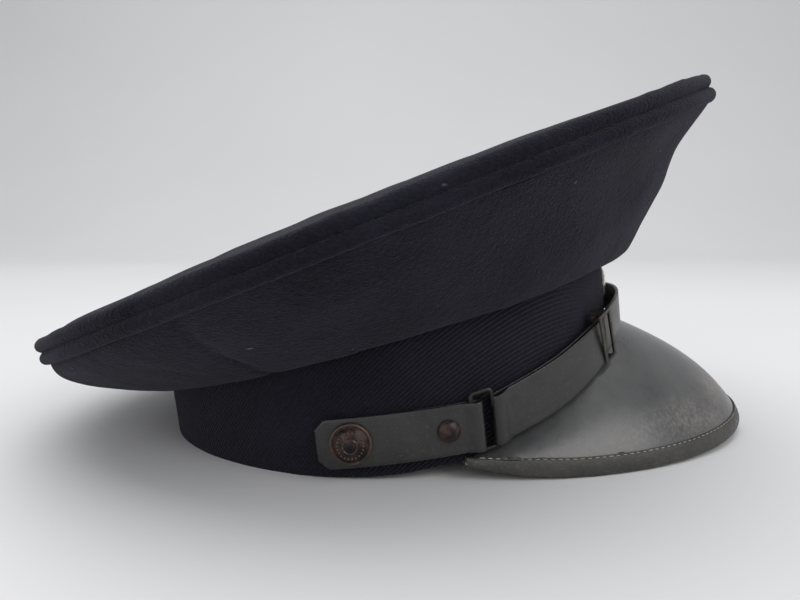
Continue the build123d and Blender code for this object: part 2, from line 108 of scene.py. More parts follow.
def through(line, x):
    """Height of a line of points at x, eased by the slopes either side."""
    if x <= line[0][0]:
        return line[0][1] + (x - line[0][0]) * (line[1][1] - line[0][1]) / (line[1][0] - line[0][0])
    for index in range(len(line) - 1):
        (x0, y0), (x1, y1) = line[index], line[index + 1]
        if x <= x1 or index == len(line) - 2:
            before = line[max(index - 1, 0)]
            after = line[min(index + 2, len(line) - 1)]
            slope0 = (y1 - before[1]) / (x1 - before[0])
            slope1 = (after[1] - y0) / (after[0] - x0)
            span = x1 - x0
            t = min((x - x0) / span, 1.0)
            ease0 = (1 + 2 * t) * (1 - t)**2 * y0 + t * (1 - t)**2 * span * slope0
            ease1 = t * t * (3 - 2 * t) * y1 + t * t * (t - 1) * span * slope1
            return ease0 + ease1
    return line[-1][1]


def lower_edge(forward):
    """Height of the headband's lower edge, which arches up to the visor's root."""
    return ARCH_RISE * (max(forward - ARCH_START, 0) / ARCH_LENGTH)**ARCH_POWER


def oval_point(oval, outset, angle, up):
    """Point on a leaning oval, outset from it, at an angle round from the front to the wearer's right."""
    centre, long_radius, wide_radius = oval
    forward = centre - LEAN_BACK * up + (long_radius + outset) * math.cos(angle)
    return -(wide_radius + outset) * math.sin(angle), forward, up


def oval_angle(oval, forward, up):
    """Angle round from the front at which an oval passes a forward position."""
    return math.acos((forward - oval[0] + LEAN_BACK * up) / oval[1])


BAND_OVAL = (OVAL_CENTRE, OVAL_LONG, OVAL_WIDE)


def ray_reach(start, oval, angle):
    """Distance along a level ray from the head's axis to an upright oval."""
    centre, long_radius, wide_radius = oval
    c, s = math.cos(angle), math.sin(angle)
    offset = start - centre
    a = (c / long_radius)**2 + (s / wide_radius)**2
    b = 2 * c * offset / long_radius**2
    k = (offset / long_radius)**2 - 1
    return (-b + math.sqrt(b * b - 4 * a * k)) / (2 * a)


def visor_rim_height(forward):
    """Height of the visor's rim."""
    return VISOR_RIM_LOW + 4.5 * (max(forward - 75, 0) / 83)**2 + 5.0 * (max(75 - forward, 0) / 50)**2


def visor_line(angle):
    """Root, bend and rim of the visor's top face along one ray, as (outward, up)."""
    up = 20.0
    for _ in range(12):
        oval = (OVAL_CENTRE - LEAN_BACK * up, OVAL_LONG + 0.35, OVAL_WIDE + 0.35)
        root = ray_reach(VISOR_AXIS, oval, angle)
        up = lower_edge(VISOR_AXIS + root * math.cos(angle))
    rim = ray_reach(VISOR_AXIS, VISOR_OVAL, angle)
    low = visor_rim_height(VISOR_AXIS + rim * math.cos(angle)) + 1.2
    return (root, up), (root + 0.75 * (rim - root), up - 0.4 * (up - low)), (rim, low)


def on_visor(angle, t, above=0.0):
    """Point on the visor's top face, t from root to rim, raised above it."""
    root, bend, rim = visor_line(angle)
    weights = ((1 - t)**2, 2 * t * (1 - t), t * t)
    reach = sum(w * p[0] for w, p in zip(weights, (root, bend, rim)))
    up = sum(w * p[1] for w, p in zip(weights, (root, bend, rim)))
    return at(-reach * math.sin(angle), VISOR_AXIS + reach * math.cos(angle), up + above)


# ---- modelling helpers ------------------------------------------------------------------------------
def deselect_all():
    """Leaves edit mode and selects nothing."""
    if bpy.context.mode != "OBJECT":
        bpy.ops.object.mode_set(mode="OBJECT")
    bpy.ops.object.select_all(action="DESELECT")


def pick(obj):
    """Makes obj the only selected object."""
    deselect_all()
    obj.select_set(True)
    bpy.context.view_layer.objects.active = obj


def named(name):
    """Names the object just added, and its mesh."""
    obj = bpy.context.object
    obj.name = name
    obj.data.name = name
    return obj


def settle(obj):
    """Puts the object's place, turn and scale into its mesh."""
    pick(obj)
    bpy.ops.object.transform_apply(location=True, rotation=True, scale=True)


def tidy_normals(obj, flip=False):
    """Merges doubles and turns all faces outwards."""
    pick(obj)
    bpy.ops.object.mode_set(mode="EDIT")
    bpy.ops.mesh.select_all(action="SELECT")
    bpy.ops.mesh.remove_doubles(threshold=0.00001)
    bpy.ops.mesh.normals_make_consistent(inside=False)
    if flip:
        bpy.ops.mesh.flip_normals()
    bpy.ops.object.mode_set(mode="OBJECT")


def modify(obj, kind, **settings):
    """Adds a modifier and applies it."""
    pick(obj)
    modifier = obj.modifiers.new(kind, kind)
    for key, value in settings.items():
        setattr(modifier, key, value)
    bpy.ops.object.modifier_apply(modifier=modifier.name)


def smooth_faces(obj, angle=50):
    """Shades smooth, apart from edges sharper than an angle."""
    pick(obj)
    bpy.ops.object.shade_smooth_by_angle(angle=math.radians(angle))


def unevenness(obj, strength, size):
    """Gentle hand-made unevenness, in metres, over patches of a size."""
    texture = bpy.data.textures.new(obj.name + "_unevenness", "CLOUDS")
    texture.noise_scale = size
    texture.noise_depth = 1
    modify(obj, "DISPLACE", texture=texture, texture_coords="LOCAL", strength=strength, mid_level=0.5)


def grid_sheet(name, columns, rows, spot):
    """Grid whose points are placed by spot(s, t), both from 0 to 1."""
    deselect_all()
    bpy.ops.mesh.primitive_grid_add(x_subdivisions=columns, y_subdivisions=rows, size=1)
    obj = named(name)
    for vertex in obj.data.vertices:
        vertex.co = spot(vertex.co.x + 0.5, vertex.co.y + 0.5)
    return obj


def ring_stack(name, rings, segments, close_last=False):
    """Tilted ovals added one after another and bridged. A ring is a centre, a tilt and two radii."""
    deselect_all()
    bpy.ops.mesh.primitive_circle_add(vertices=segments, radius=1, fill_type="NOTHING")
    obj = named(name)
    bpy.ops.object.mode_set(mode="EDIT")
    bpy.ops.mesh.select_all(action="SELECT")
    bpy.ops.mesh.delete(type="VERT")
    for centre, tilt, wide, long in rings:
        bpy.ops.mesh.primitive_circle_add(vertices=segments, radius=wide, fill_type="NOTHING",
                                          location=centre,
                                          rotation=tilt)
        if abs(long - wide) > 0.00001:
            facing = Euler(tilt).to_matrix()
            bpy.ops.transform.resize(value=(1, long / wide, 1), orient_type="GLOBAL", orient_matrix=facing,
                                     orient_matrix_type="GLOBAL", center_override=centre)
    bpy.ops.object.mode_set(mode="OBJECT")
    for index in range(len(rings) - 1):
        select_range(obj, index * segments, (index + 2) * segments)
        bpy.ops.object.mode_set(mode="EDIT")
        bpy.ops.mesh.bridge_edge_loops()
        bpy.ops.object.mode_set(mode="OBJECT")
    if close_last:
        select_range(obj, (len(rings) - 1) * segments, len(rings) * segments)
        bpy.ops.object.mode_set(mode="EDIT")
        bpy.ops.mesh.edge_face_add()
        bpy.ops.object.mode_set(mode="OBJECT")
    return obj


def select_range(obj, start, end):
    """Selects the points of a mesh whose index lies in a range."""
    pick(obj)
    bpy.ops.object.mode_set(mode="EDIT")
    bpy.ops.mesh.select_mode(type="VERT")
    bpy.ops.mesh.select_all(action="DESELECT")
    bpy.ops.object.mode_set(mode="OBJECT")
    for vertex in obj.data.vertices:
        vertex.select = start <= vertex.index < end


def side_ring(back, front, half_wide):
    """Ring through a back and a front point of the side view, for ring_stack."""
    run = front[0] - back[0]
    rise = front[1] - back[1]
    centre = at(0, (front[0] + back[0]) / 2, (front[1] + back[1]) / 2)
    return centre, (-math.atan2(rise, run), 0, 0), half_wide * MM, math.hypot(run, rise) / 2 * MM


def rim_point(forward, across, rise):
    """Point of the crown's rim plane: forward and across within it, raised along its normal."""
    c, s = math.cos(RIM_TILT), math.sin(RIM_TILT)
    return at(across, RIM_CENTRE[0] + forward * c - rise * s, RIM_CENTRE[1] + forward * s + rise * c)


def rim_ring(inset, rise, back_shift=0.0):
    """Ring parallel to the crown's rim, for ring_stack."""
    return (rim_point(-back_shift, 0, rise), (-RIM_TILT, 0, 0), (RIM_WIDE - inset) * MM,
            (RIM_LONG - inset) * MM)


def finish_piece(obj, body, slot, materials, *replaced):
    """Gives a piece its materials and its body, and hides the nodes it stands for. The slot is not used."""
    obj.data.materials.clear()
    for material in materials:
        obj.data.materials.append(material)
    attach(obj, body)
    if replaced:
        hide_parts(*replaced)
    return obj


def cad_copy(name, node):
    """Merged copy of a CAD node's mesh, as the start of a detailed piece."""
    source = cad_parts[node]
    obj = bpy.data.objects.new(name, source.data.copy())
    bpy.context.scene.collection.objects.link(obj)
    pick(obj)
    bpy.ops.object.mode_set(mode="EDIT")
    bpy.ops.mesh.select_all(action="SELECT")
    bpy.ops.mesh.remove_doubles(threshold=0.00001)
    bpy.ops.object.mode_set(mode="OBJECT")
    return obj


def joined(name, parts):
    """Several objects as one."""
    deselect_all()
    for part in parts:
        part.select_set(True)
    bpy.context.view_layer.objects.active = parts[0]
    if len(parts) > 1:
        bpy.ops.object.join()
    return named(name)


# ---- materials --------------------------------------------------------------------------------------
class Nodes:
    """Small helper that adds and links shader nodes of one tree."""

    def __init__(self, tree):
        self.tree = tree

    def add(self, kind, inputs=None, **settings):
        node = self.tree.nodes.new(kind)
        for key, value in settings.items():
            setattr(node, key, value)
        for key, value in (inputs or {}).items():
            if isinstance(value, bpy.types.NodeSocket):
                self.tree.links.new(value, node.inputs[key])
            else:
                node.inputs[key].default_value = value
        return node

    def math(self, operation, a, b=0.0, clamp=False):
        return self.add("ShaderNodeMath", {0: a, 1: b}, operation=operation, use_clamp=clamp).outputs[0]

    def mix(self, factor, a, b, blend="MIX"):
        node = self.add("ShaderNodeMix", data_type="RGBA", blend_type=blend)
        for index, value in ((0, factor), (6, a), (7, b)):
            if isinstance(value, bpy.types.NodeSocket):
                self.tree.links.new(value, node.inputs[index])
            else:
                node.inputs[index].default_value = value
        return node.outputs[2]

    def noise(self, vector, scale, detail=2.0, roughness=0.5):
        inputs = {"Vector": vector, "Scale": scale, "Detail": detail, "Roughness": roughness}
        return self.add("ShaderNodeTexNoise", inputs).outputs["Fac"]

    def ramp(self, value, low, high, out_low=0.0, out_high=1.0):
        inputs = {"Value": value, "From Min": low, "From Max": high, "To Min": out_low, "To Max": out_high}
        return self.add("ShaderNodeMapRange", inputs, clamp=True).outputs["Result"]


def new_group(name, inputs, outputs):
    """Empty shader node group with named sockets. Returns its helper, its inputs and its output node."""
    tree = bpy.data.node_groups.new(name, "ShaderNodeTree")
    for socket, default in inputs.items():
        kind = "NodeSocketVector" if default is None else "NodeSocketFloat"
        item = tree.interface.new_socket(name=socket, in_out="INPUT", socket_type=kind)
        if default is not None:
            item.default_value = default
    for socket in outputs:
        tree.interface.new_socket(name=socket, in_out="OUTPUT", socket_type="NodeSocketFloat")
    nodes = Nodes(tree)
    entry = nodes.add("NodeGroupInput")
    leave = nodes.add("NodeGroupOutput")
    return nodes, entry.outputs, leave


def wool_group():
    """Milled wool: a fuzzy nap, blotches from wear, and specks of pale lint."""
    nodes, given, leave = new_group("milled_wool", {"Place": None, "Nap size": 1.0, "Lint": 1.0},
                                    ["Height", "Blotch", "Lint", "Fibre"])
    place = given["Place"]
    scale = nodes.math("MULTIPLY", given["Nap size"], 1500.0)
    stretched = nodes.add("ShaderNodeMapping", {"Vector": place, "Rotation": (0.3, 0.5, 0.9),
                                                "Scale": (1.0, 0.28, 1.0)}).outputs[0]
    crossed = nodes.add("ShaderNodeMapping", {"Vector": place, "Rotation": (1.1, -0.4, -0.7),
                                              "Scale": (0.3, 1.0, 1.0)}).outputs[0]
    fibre_a = nodes.noise(stretched, scale, 3.0, 0.6)
    fibre_b = nodes.noise(crossed, scale, 3.0, 0.6)
    fibre = nodes.math("MAXIMUM", fibre_a, fibre_b)
    clump = nodes.noise(place, 520.0, 4.0, 0.7)
    height = nodes.math("ADD", nodes.math("MULTIPLY", fibre, 0.6), nodes.math("MULTIPLY", clump, 0.5))
    blotch = nodes.noise(place, 22.0, 3.0, 0.55)
    speck = nodes.add("ShaderNodeTexVoronoi", {"Vector": stretched, "Scale": 210.0, "Randomness": 1.0})
    near = nodes.ramp(speck.outputs["Distance"], 0.10, 0.03)
    rare = nodes.ramp(nodes.noise(place, 95.0, 1.0), 0.59, 0.64)
    lint = nodes.math("MULTIPLY", nodes.math("MULTIPLY", near, rare), given["Lint"])
    for key, value in (("Height", height), ("Blotch", blotch), ("Lint", lint), ("Fibre", fibre)):
        nodes.tree.links.new(value, leave.inputs[key])
    return nodes.tree


def grain_group():
    """Leather grain: pores, creases, scuffs and dust."""
    nodes, given, leave = new_group("leather_grain", {"Place": None, "Grain size": 1.0},
                                    ["Height", "Scuff", "Dust", "Scratch"])
    place = given["Place"]
    scale = nodes.math("MULTIPLY", given["Grain size"], 900.0)
    cells = nodes.add("ShaderNodeTexVoronoi", {"Vector": place, "Scale": scale}, feature="DISTANCE_TO_EDGE")
    pores = nodes.ramp(cells.outputs["Distance"], 0.0, 0.22)
    fine = nodes.noise(place, 2200.0, 2.0)
    height = nodes.math("ADD", nodes.math("MULTIPLY", pores, 0.5), nodes.math("MULTIPLY", fine, 0.4))
    scuff = nodes.noise(place, 60.0, 6.0, 0.7)
    # This noise gives the leather's dust, and also the flecks of the painted highlight on the visor.
    dust_and_highlight = nodes.noise(place, 700.0, 4.0, 0.75)
    drawn = nodes.add("ShaderNodeMapping", {"Vector": place, "Rotation": (0.2, 0.1, 0.6),
                                            "Scale": (0.06, 1.0, 1.0)}).outputs[0]
    scratch = nodes.ramp(nodes.noise(drawn, 900.0, 3.0, 0.6), 0.62, 0.72)
    for key, value in (("Height", height), ("Scuff", scuff), ("Dust", dust_and_highlight), ("Scratch", scratch)):
        nodes.tree.links.new(value, leave.inputs[key])
    return nodes.tree


def corrosion_group():
    """Old painted metal: rust patches, pits and worn high spots."""
    nodes, given, leave = new_group("old_metal", {"Place": None, "Patch size": 1.0},
                                    ["Height", "Rust", "Wear"])
    place = given["Place"]
    patch = nodes.noise(place, nodes.math("MULTIPLY", given["Patch size"], 260.0), 5.0, 0.65)
    pits = nodes.noise(place, 1800.0, 3.0, 0.6)
    rust = nodes.ramp(patch, 0.46, 0.60)
    wear = nodes.ramp(nodes.noise(place, 500.0, 4.0, 0.7), 0.55, 0.75)
    height = nodes.math("ADD", nodes.math("MULTIPLY", rust, 0.5), nodes.math("MULTIPLY", pits, 0.5))
    for key, value in (("Height", height), ("Rust", rust), ("Wear", wear)):
        nodes.tree.links.new(value, leave.inputs[key])
    return nodes.tree


def start_material(name):
    """New material with its helper, its Principled shader and its object coordinates."""
    material = bpy.data.materials.new(name)
    material.use_nodes = True
    nodes = Nodes(material.node_tree)
    shader = material.node_tree.nodes["Principled BSDF"]
    place = nodes.add("ShaderNodeTexCoord").outputs["Object"]
    return material, nodes, shader, place


def feed(nodes, shader, **sockets):
    """Links or sets sockets of the Principled shader, given with underscores for spaces."""
    for key, value in sockets.items():
        socket = shader.inputs[key.replace("_", " ")]
        if isinstance(value, bpy.types.NodeSocket):
            nodes.tree.links.new(value, socket)
        else:
            socket.default_value = value


def bump(nodes, height, strength, distance):
    """Bump normal, with its distance in millimetres."""
    inputs = {"Height": height, "Strength": strength, "Distance": distance * MM}
    return nodes.add("ShaderNodeBump", inputs).outputs["Normal"]


def wool(name, group, dark, light, nap=1.0, twill=0.0, lint=1.0):
    """Milled wool cloth. Twill sets the strength of diagonal ribs."""
    material, nodes, shader, place = start_material(name)
    made = nodes.add("ShaderNodeGroup", {"Place": place, "Nap size": nap, "Lint": lint}, node_tree=group)
    height = made.outputs["Height"]
    shade = nodes.ramp(nodes.math("ADD", nodes.math("MULTIPLY", made.outputs["Blotch"], 0.5),
                                  nodes.math("MULTIPLY", made.outputs["Fibre"], 0.6)), 0.42, 0.78)
    colour = nodes.mix(shade, dark, light)
    if twill:
        ribs = nodes.add("ShaderNodeTexWave", {"Vector": place, "Scale": 330.0, "Distortion": 0.6,
                                               "Detail Scale": 40.0}, wave_type="BANDS",
                         bands_direction="DIAGONAL").outputs["Fac"]
        height = nodes.math("ADD", height, nodes.math("MULTIPLY", ribs, twill))
        colour = nodes.mix(nodes.math("MULTIPLY", ribs, twill * 0.5), colour, light)
    colour = nodes.mix(made.outputs["Lint"], colour, (0.20, 0.19, 0.18, 1))
    feed(nodes, shader, Base_Color=colour, Roughness=0.95, Specular_IOR_Level=0.08, Sheen_Weight=0.16,
         Sheen_Roughness=0.35, Sheen_Tint=(0.56, 0.54, 0.62, 1), Normal=bump(nodes, height, 1.0, 1.1))
    return material


def leather(name, group, dark, light, roughness, grain=1.0, dusty=0.0, coat=0.0, bump_depth=0.12):
    """Old leather. Dusty sets how much pale dust lies in its scuffs."""
    material, nodes, shader, place = start_material(name)
    made = nodes.add("ShaderNodeGroup", {"Place": place, "Grain size": grain}, node_tree=group)
    scuff = nodes.ramp(made.outputs["Scuff"], 0.40, 0.72)
    colour = nodes.mix(scuff, dark, light)
    colour = nodes.mix(nodes.math("MULTIPLY", made.outputs["Scratch"], 0.35), colour, (0.12, 0.11, 0.10, 1))
    if dusty:
        flecks = nodes.math("MULTIPLY", nodes.ramp(made.outputs["Dust"], 0.52, 0.72), dusty)
        colour = nodes.mix(flecks, colour, (0.34, 0.29, 0.25, 1))
    rough = nodes.ramp(made.outputs["Scuff"], 0.3, 0.75, roughness - 0.07, roughness + 0.14)
    feed(nodes, shader, Base_Color=colour, Roughness=rough, Coat_Weight=coat, Coat_Roughness=0.25,
         Normal=bump(nodes, made.outputs["Height"], 0.5, bump_depth))
    return material


def visor_leather(group):
    """Waxed visor leather with a pale flecked band that follows the rim, partly dust and partly a painted
    highlight.
    """
    material, nodes, shader, place = start_material("visor_leather")
    made = nodes.add("ShaderNodeGroup", {"Place": place, "Grain size": 0.9}, node_tree=group)
    along = nodes.add("ShaderNodeUVMap", uv_map="UVMap").outputs[0]
    split = nodes.add("ShaderNodeSeparateXYZ", {0: along}).outputs
    # Painted highlight: the pale band across the outer visor, broken into flecks, is partly dust and partly
    # painted light.
    wobble = nodes.math("MULTIPLY", nodes.math("SUBTRACT", nodes.noise(place, 30.0, 3.0), 0.5), 0.5)
    reach = nodes.math("ADD", split[1], wobble)
    inner = nodes.ramp(reach, 0.46, 0.70)
    outer = nodes.ramp(reach, 0.96, 0.80)
    band = nodes.math("MULTIPLY", inner, outer)
    fleck = nodes.ramp(made.outputs["Dust"], 0.40, 0.66)
    soft = nodes.ramp(made.outputs["Scuff"], 0.36, 0.66)
    dust_and_highlight = nodes.math("MULTIPLY", band, nodes.math("MULTIPLY", fleck, nodes.math("ADD", nodes.math(
        "MULTIPLY", soft, 0.8), 0.2)), clamp=True)
    colour = nodes.mix(nodes.ramp(made.outputs["Scuff"], 0.35, 0.8), (0.040, 0.041, 0.042, 1),
                       (0.080, 0.080, 0.079, 1))
    # Lightens the band towards pale grey: partly dust, partly a painted highlight.
    colour = nodes.mix(nodes.math("MULTIPLY", dust_and_highlight, 0.5), colour, (0.36, 0.305, 0.27, 1))
    rough = nodes.math("ADD", nodes.ramp(made.outputs["Scuff"], 0.3, 0.8, 0.26, 0.36),
                       nodes.math("MULTIPLY", dust_and_highlight, 0.35), clamp=True)
    feed(nodes, shader, Base_Color=colour, Roughness=rough, Coat_Weight=0.35, Coat_Roughness=0.3,
         Normal=bump(nodes, nodes.math("ADD", made.outputs["Height"], dust_and_highlight), 0.35, 0.08))
    return material


def metal(name, group, paint, bare, rust, rusty=1.0, shine=0.4, metallic=0.7):
    """Old painted metal, worn to bare metal on its high spots."""
    material, nodes, shader, place = start_material(name)
    made = nodes.add("ShaderNodeGroup", {"Place": place, "Patch size": 1.0}, node_tree=group)
    edge = nodes.ramp(nodes.add("ShaderNodeNewGeometry").outputs["Pointiness"], 0.51, 0.58)
    worn = nodes.math("MULTIPLY", edge, nodes.math("ADD", made.outputs["Wear"], 0.45), clamp=True)
    colour = nodes.mix(nodes.math("MULTIPLY", made.outputs["Rust"], rusty), paint, rust)
    colour = nodes.mix(worn, colour, bare)
    rough = nodes.math("ADD", nodes.math("MULTIPLY", made.outputs["Rust"], 0.4 * rusty), shine, clamp=True)
    feed(nodes, shader, Base_Color=colour, Roughness=rough, Metallic=metallic,
         Normal=bump(nodes, made.outputs["Height"], 0.5, 0.12))
    return material


def plain_weave(name, dark, light, scale=500.0, roughness=0.8):
    """Fine woven cotton or ribbon."""
    material, nodes, shader, place = start_material(name)
    turned = nodes.add("ShaderNodeMapping", {"Vector": place, "Rotation": (0.0, 0.0, 0.785)}).outputs[0]
    warp = nodes.add("ShaderNodeTexWave", {"Vector": turned, "Scale": scale},
                     bands_direction="X").outputs["Fac"]
    weft = nodes.add("ShaderNodeTexWave", {"Vector": turned, "Scale": scale},
                     bands_direction="Y").outputs["Fac"]
    weave = nodes.math("MULTIPLY", warp, weft)
    stain = nodes.noise(place, 30.0, 4.0, 0.6)
    colour = nodes.mix(nodes.math("ADD", nodes.math("MULTIPLY", weave, 0.4), nodes.math(
        "MULTIPLY", stain, 0.6)), dark, light)
    feed(nodes, shader, Base_Color=colour, Roughness=roughness, Sheen_Weight=0.2,
         Normal=bump(nodes, weave, 0.4, 0.1))
    return material


def floor_material():
    """Plain pale paper."""
    material, nodes, shader, place = start_material("pale_paper")
    tone = nodes.noise(place, 3.0, 2.0)
    colour = nodes.mix(tone, (0.64, 0.64, 0.645, 1), (0.68, 0.68, 0.685, 1))
    feed(nodes, shader, Base_Color=colour, Roughness=0.9, Specular_IOR_Level=0.1)
    return material


MATERIALS = {}


def make_materials(colours):
    """Every finish of the cap, by name."""
    wool_tree = wool_group()
    grain_tree = grain_group()
    rust_tree = corrosion_group()
    navy = (*colours.cloth, 1)
    navy_light = tuple(min(c * 5.0, 1) for c in colours.cloth) + (1,)
    black = (*colours.leather, 1)
    black_light = tuple(min(c * 2.6, 1) for c in colours.leather) + (1,)
    MATERIALS["cloth"] = wool("navy_melton", wool_tree, navy, navy_light)
    MATERIALS["band"] = wool("band_cloth_twill", wool_tree, navy, navy_light, nap=1.2, twill=0.5, lint=0.8)
    MATERIALS["visor"] = visor_leather(grain_tree)
    MATERIALS["strap"] = leather("strap_leather", grain_tree, black, black_light, 0.34, dusty=0.03, coat=0.1)
    MATERIALS["edge"] = leather("raw_leather_edge", grain_tree, (0.035, 0.032, 0.024, 1),
                                (0.13, 0.115, 0.08, 1), 0.7,
                                dusty=0.4)
    MATERIALS["binding"] = leather("visor_binding_leather", grain_tree, (0.022, 0.022, 0.020, 1),
                                   (0.045, 0.042, 0.034, 1), 0.5, dusty=0.12)
    MATERIALS["under"] = leather("visor_lining_leather", grain_tree, (0.020, 0.030, 0.022, 1),
                                 (0.045, 0.055, 0.045, 1), 0.55, dusty=0.2)
    MATERIALS["sweat"] = leather("sweatband_leather", grain_tree, (0.16, 0.075, 0.035, 1),
                                 (0.32, 0.18, 0.10, 1), 0.5,
                                 grain=0.7)
    MATERIALS["thread"] = plain_weave("pale_thread", (0.24, 0.21, 0.17, 1), (0.42, 0.38, 0.31, 1), 2500.0)
    MATERIALS["lining"] = plain_weave("lining_sateen", (0.055, 0.045, 0.04, 1), (0.11, 0.095, 0.085, 1),
                                      700.0, 0.55)
    MATERIALS["ribbon"] = plain_weave("bow_ribbon", (0.02, 0.02, 0.025, 1), (0.05, 0.05, 0.06, 1), 1500.0,
                                      0.6)
    MATERIALS["board"] = leather("fibre_board", grain_tree, (0.20, 0.15, 0.09, 1), (0.32, 0.26, 0.17, 1),
                                 0.85)
    MATERIALS["black_metal"] = metal("black_buckle_metal", rust_tree, (0.018, 0.018, 0.017, 1),
                                     (0.30, 0.28, 0.25, 1),
                                     (0.05, 0.03, 0.02, 1), 0.5)
    MATERIALS["button"] = metal("button_metal", rust_tree, (0.013, 0.012, 0.012, 1), (0.20, 0.14, 0.125, 1),
                                (0.085, 0.045, 0.038, 1), 0.8, 0.32)
    MATERIALS["brass"] = metal("aged_brass", rust_tree, (0.32, 0.22, 0.09, 1), (0.6, 0.45, 0.22, 1),
                               (0.08, 0.09, 0.06, 1), 0.6, 0.35, 0.9)
    MATERIALS["steel"] = metal("spring_steel", rust_tree, (0.25, 0.25, 0.25, 1), (0.5, 0.5, 0.5, 1),
                               (0.16, 0.08, 0.05, 1), 0.6, 0.3, 0.9)
    MATERIALS["badge"] = metal("white_metal", rust_tree, (0.50, 0.50, 0.45, 1), (0.75, 0.74, 0.68, 1),
                               (0.22, 0.21, 0.18, 1), 0.4, 0.28, 0.9)


# ---- settings ---------------------------------------------------------------------------------------
class CapSizes(bpy.types.PropertyGroup):
    """Sizes of the cap's soft and sewn detail."""
    cloth_thick: bpy.props.FloatProperty(name="Cloth thickness", description="Thickness of the crown's cloth",
                                         default=2.0 * MM, unit="LENGTH")
    roll_radius: bpy.props.FloatProperty(name="Edge roll radius",
                                         description="Radius of the two rolls round the rim",
                                         default=2.8 * MM, unit="LENGTH")
    top_dome: bpy.props.FloatProperty(name="Top dome", description="How far the top panel puffs up",
                                      default=8.0 * MM, unit="LENGTH")
    stitch_length: bpy.props.FloatProperty(name="Stitch length",
                                           description="Length of each stitch of the binding",
                                           default=2.1 * MM, unit="LENGTH")
    ease: bpy.props.FloatProperty(name="Hand-made unevenness", description="How uneven the sewn shapes are",
                                  default=0.9 * MM, unit="LENGTH")


class CapColours(bpy.types.PropertyGroup):
    """Base colours of the cap."""
    cloth: bpy.props.FloatVectorProperty(name="Cloth", description="Darkest colour of the wool cloth",
                                         subtype="COLOR",
                                         size=3, default=(0.0042, 0.0040, 0.0062))
    leather: bpy.props.FloatVectorProperty(name="Leather", description="Darkest colour of the strap",
                                           subtype="COLOR",
                                           size=3, default=(0.009, 0.009, 0.0085))


# ---- crown ------------------------------------------------------------------------------------------
SEAM_ANGLES = (0.0, 114.0, 180.0, -114.0)
CROWN_SEGMENTS = 180
# Side-view back point, front point and half width of each ring, from the seam on the headband down
# over the droop, round the fold and out to the rim.
CROWN_RINGS = [
    ((-110.6, 38.0), (92.4, 77.4), 86.3),
    ((-110.4, 27.5), (95.5, 78.6), 87.2),
    ((-110.6, 20.0), (100.6, 81.2), 88.8),
    ((-113.8, 18.4), (103.6, 84.6), 91.8),
    ((-121.0, 18.6), (105.6, 91.0), 98.5),
    ((-130.5, 20.2), (108.4, 101.0), 107.5),
    ((-139.5, 22.2), (112.4, 110.6), 116.5),
    ((-147.4, 24.6), (114.2, 117.4), 124.4),
    ((-152.4, 28.0), (121.0, 130.0), 132.4),
]


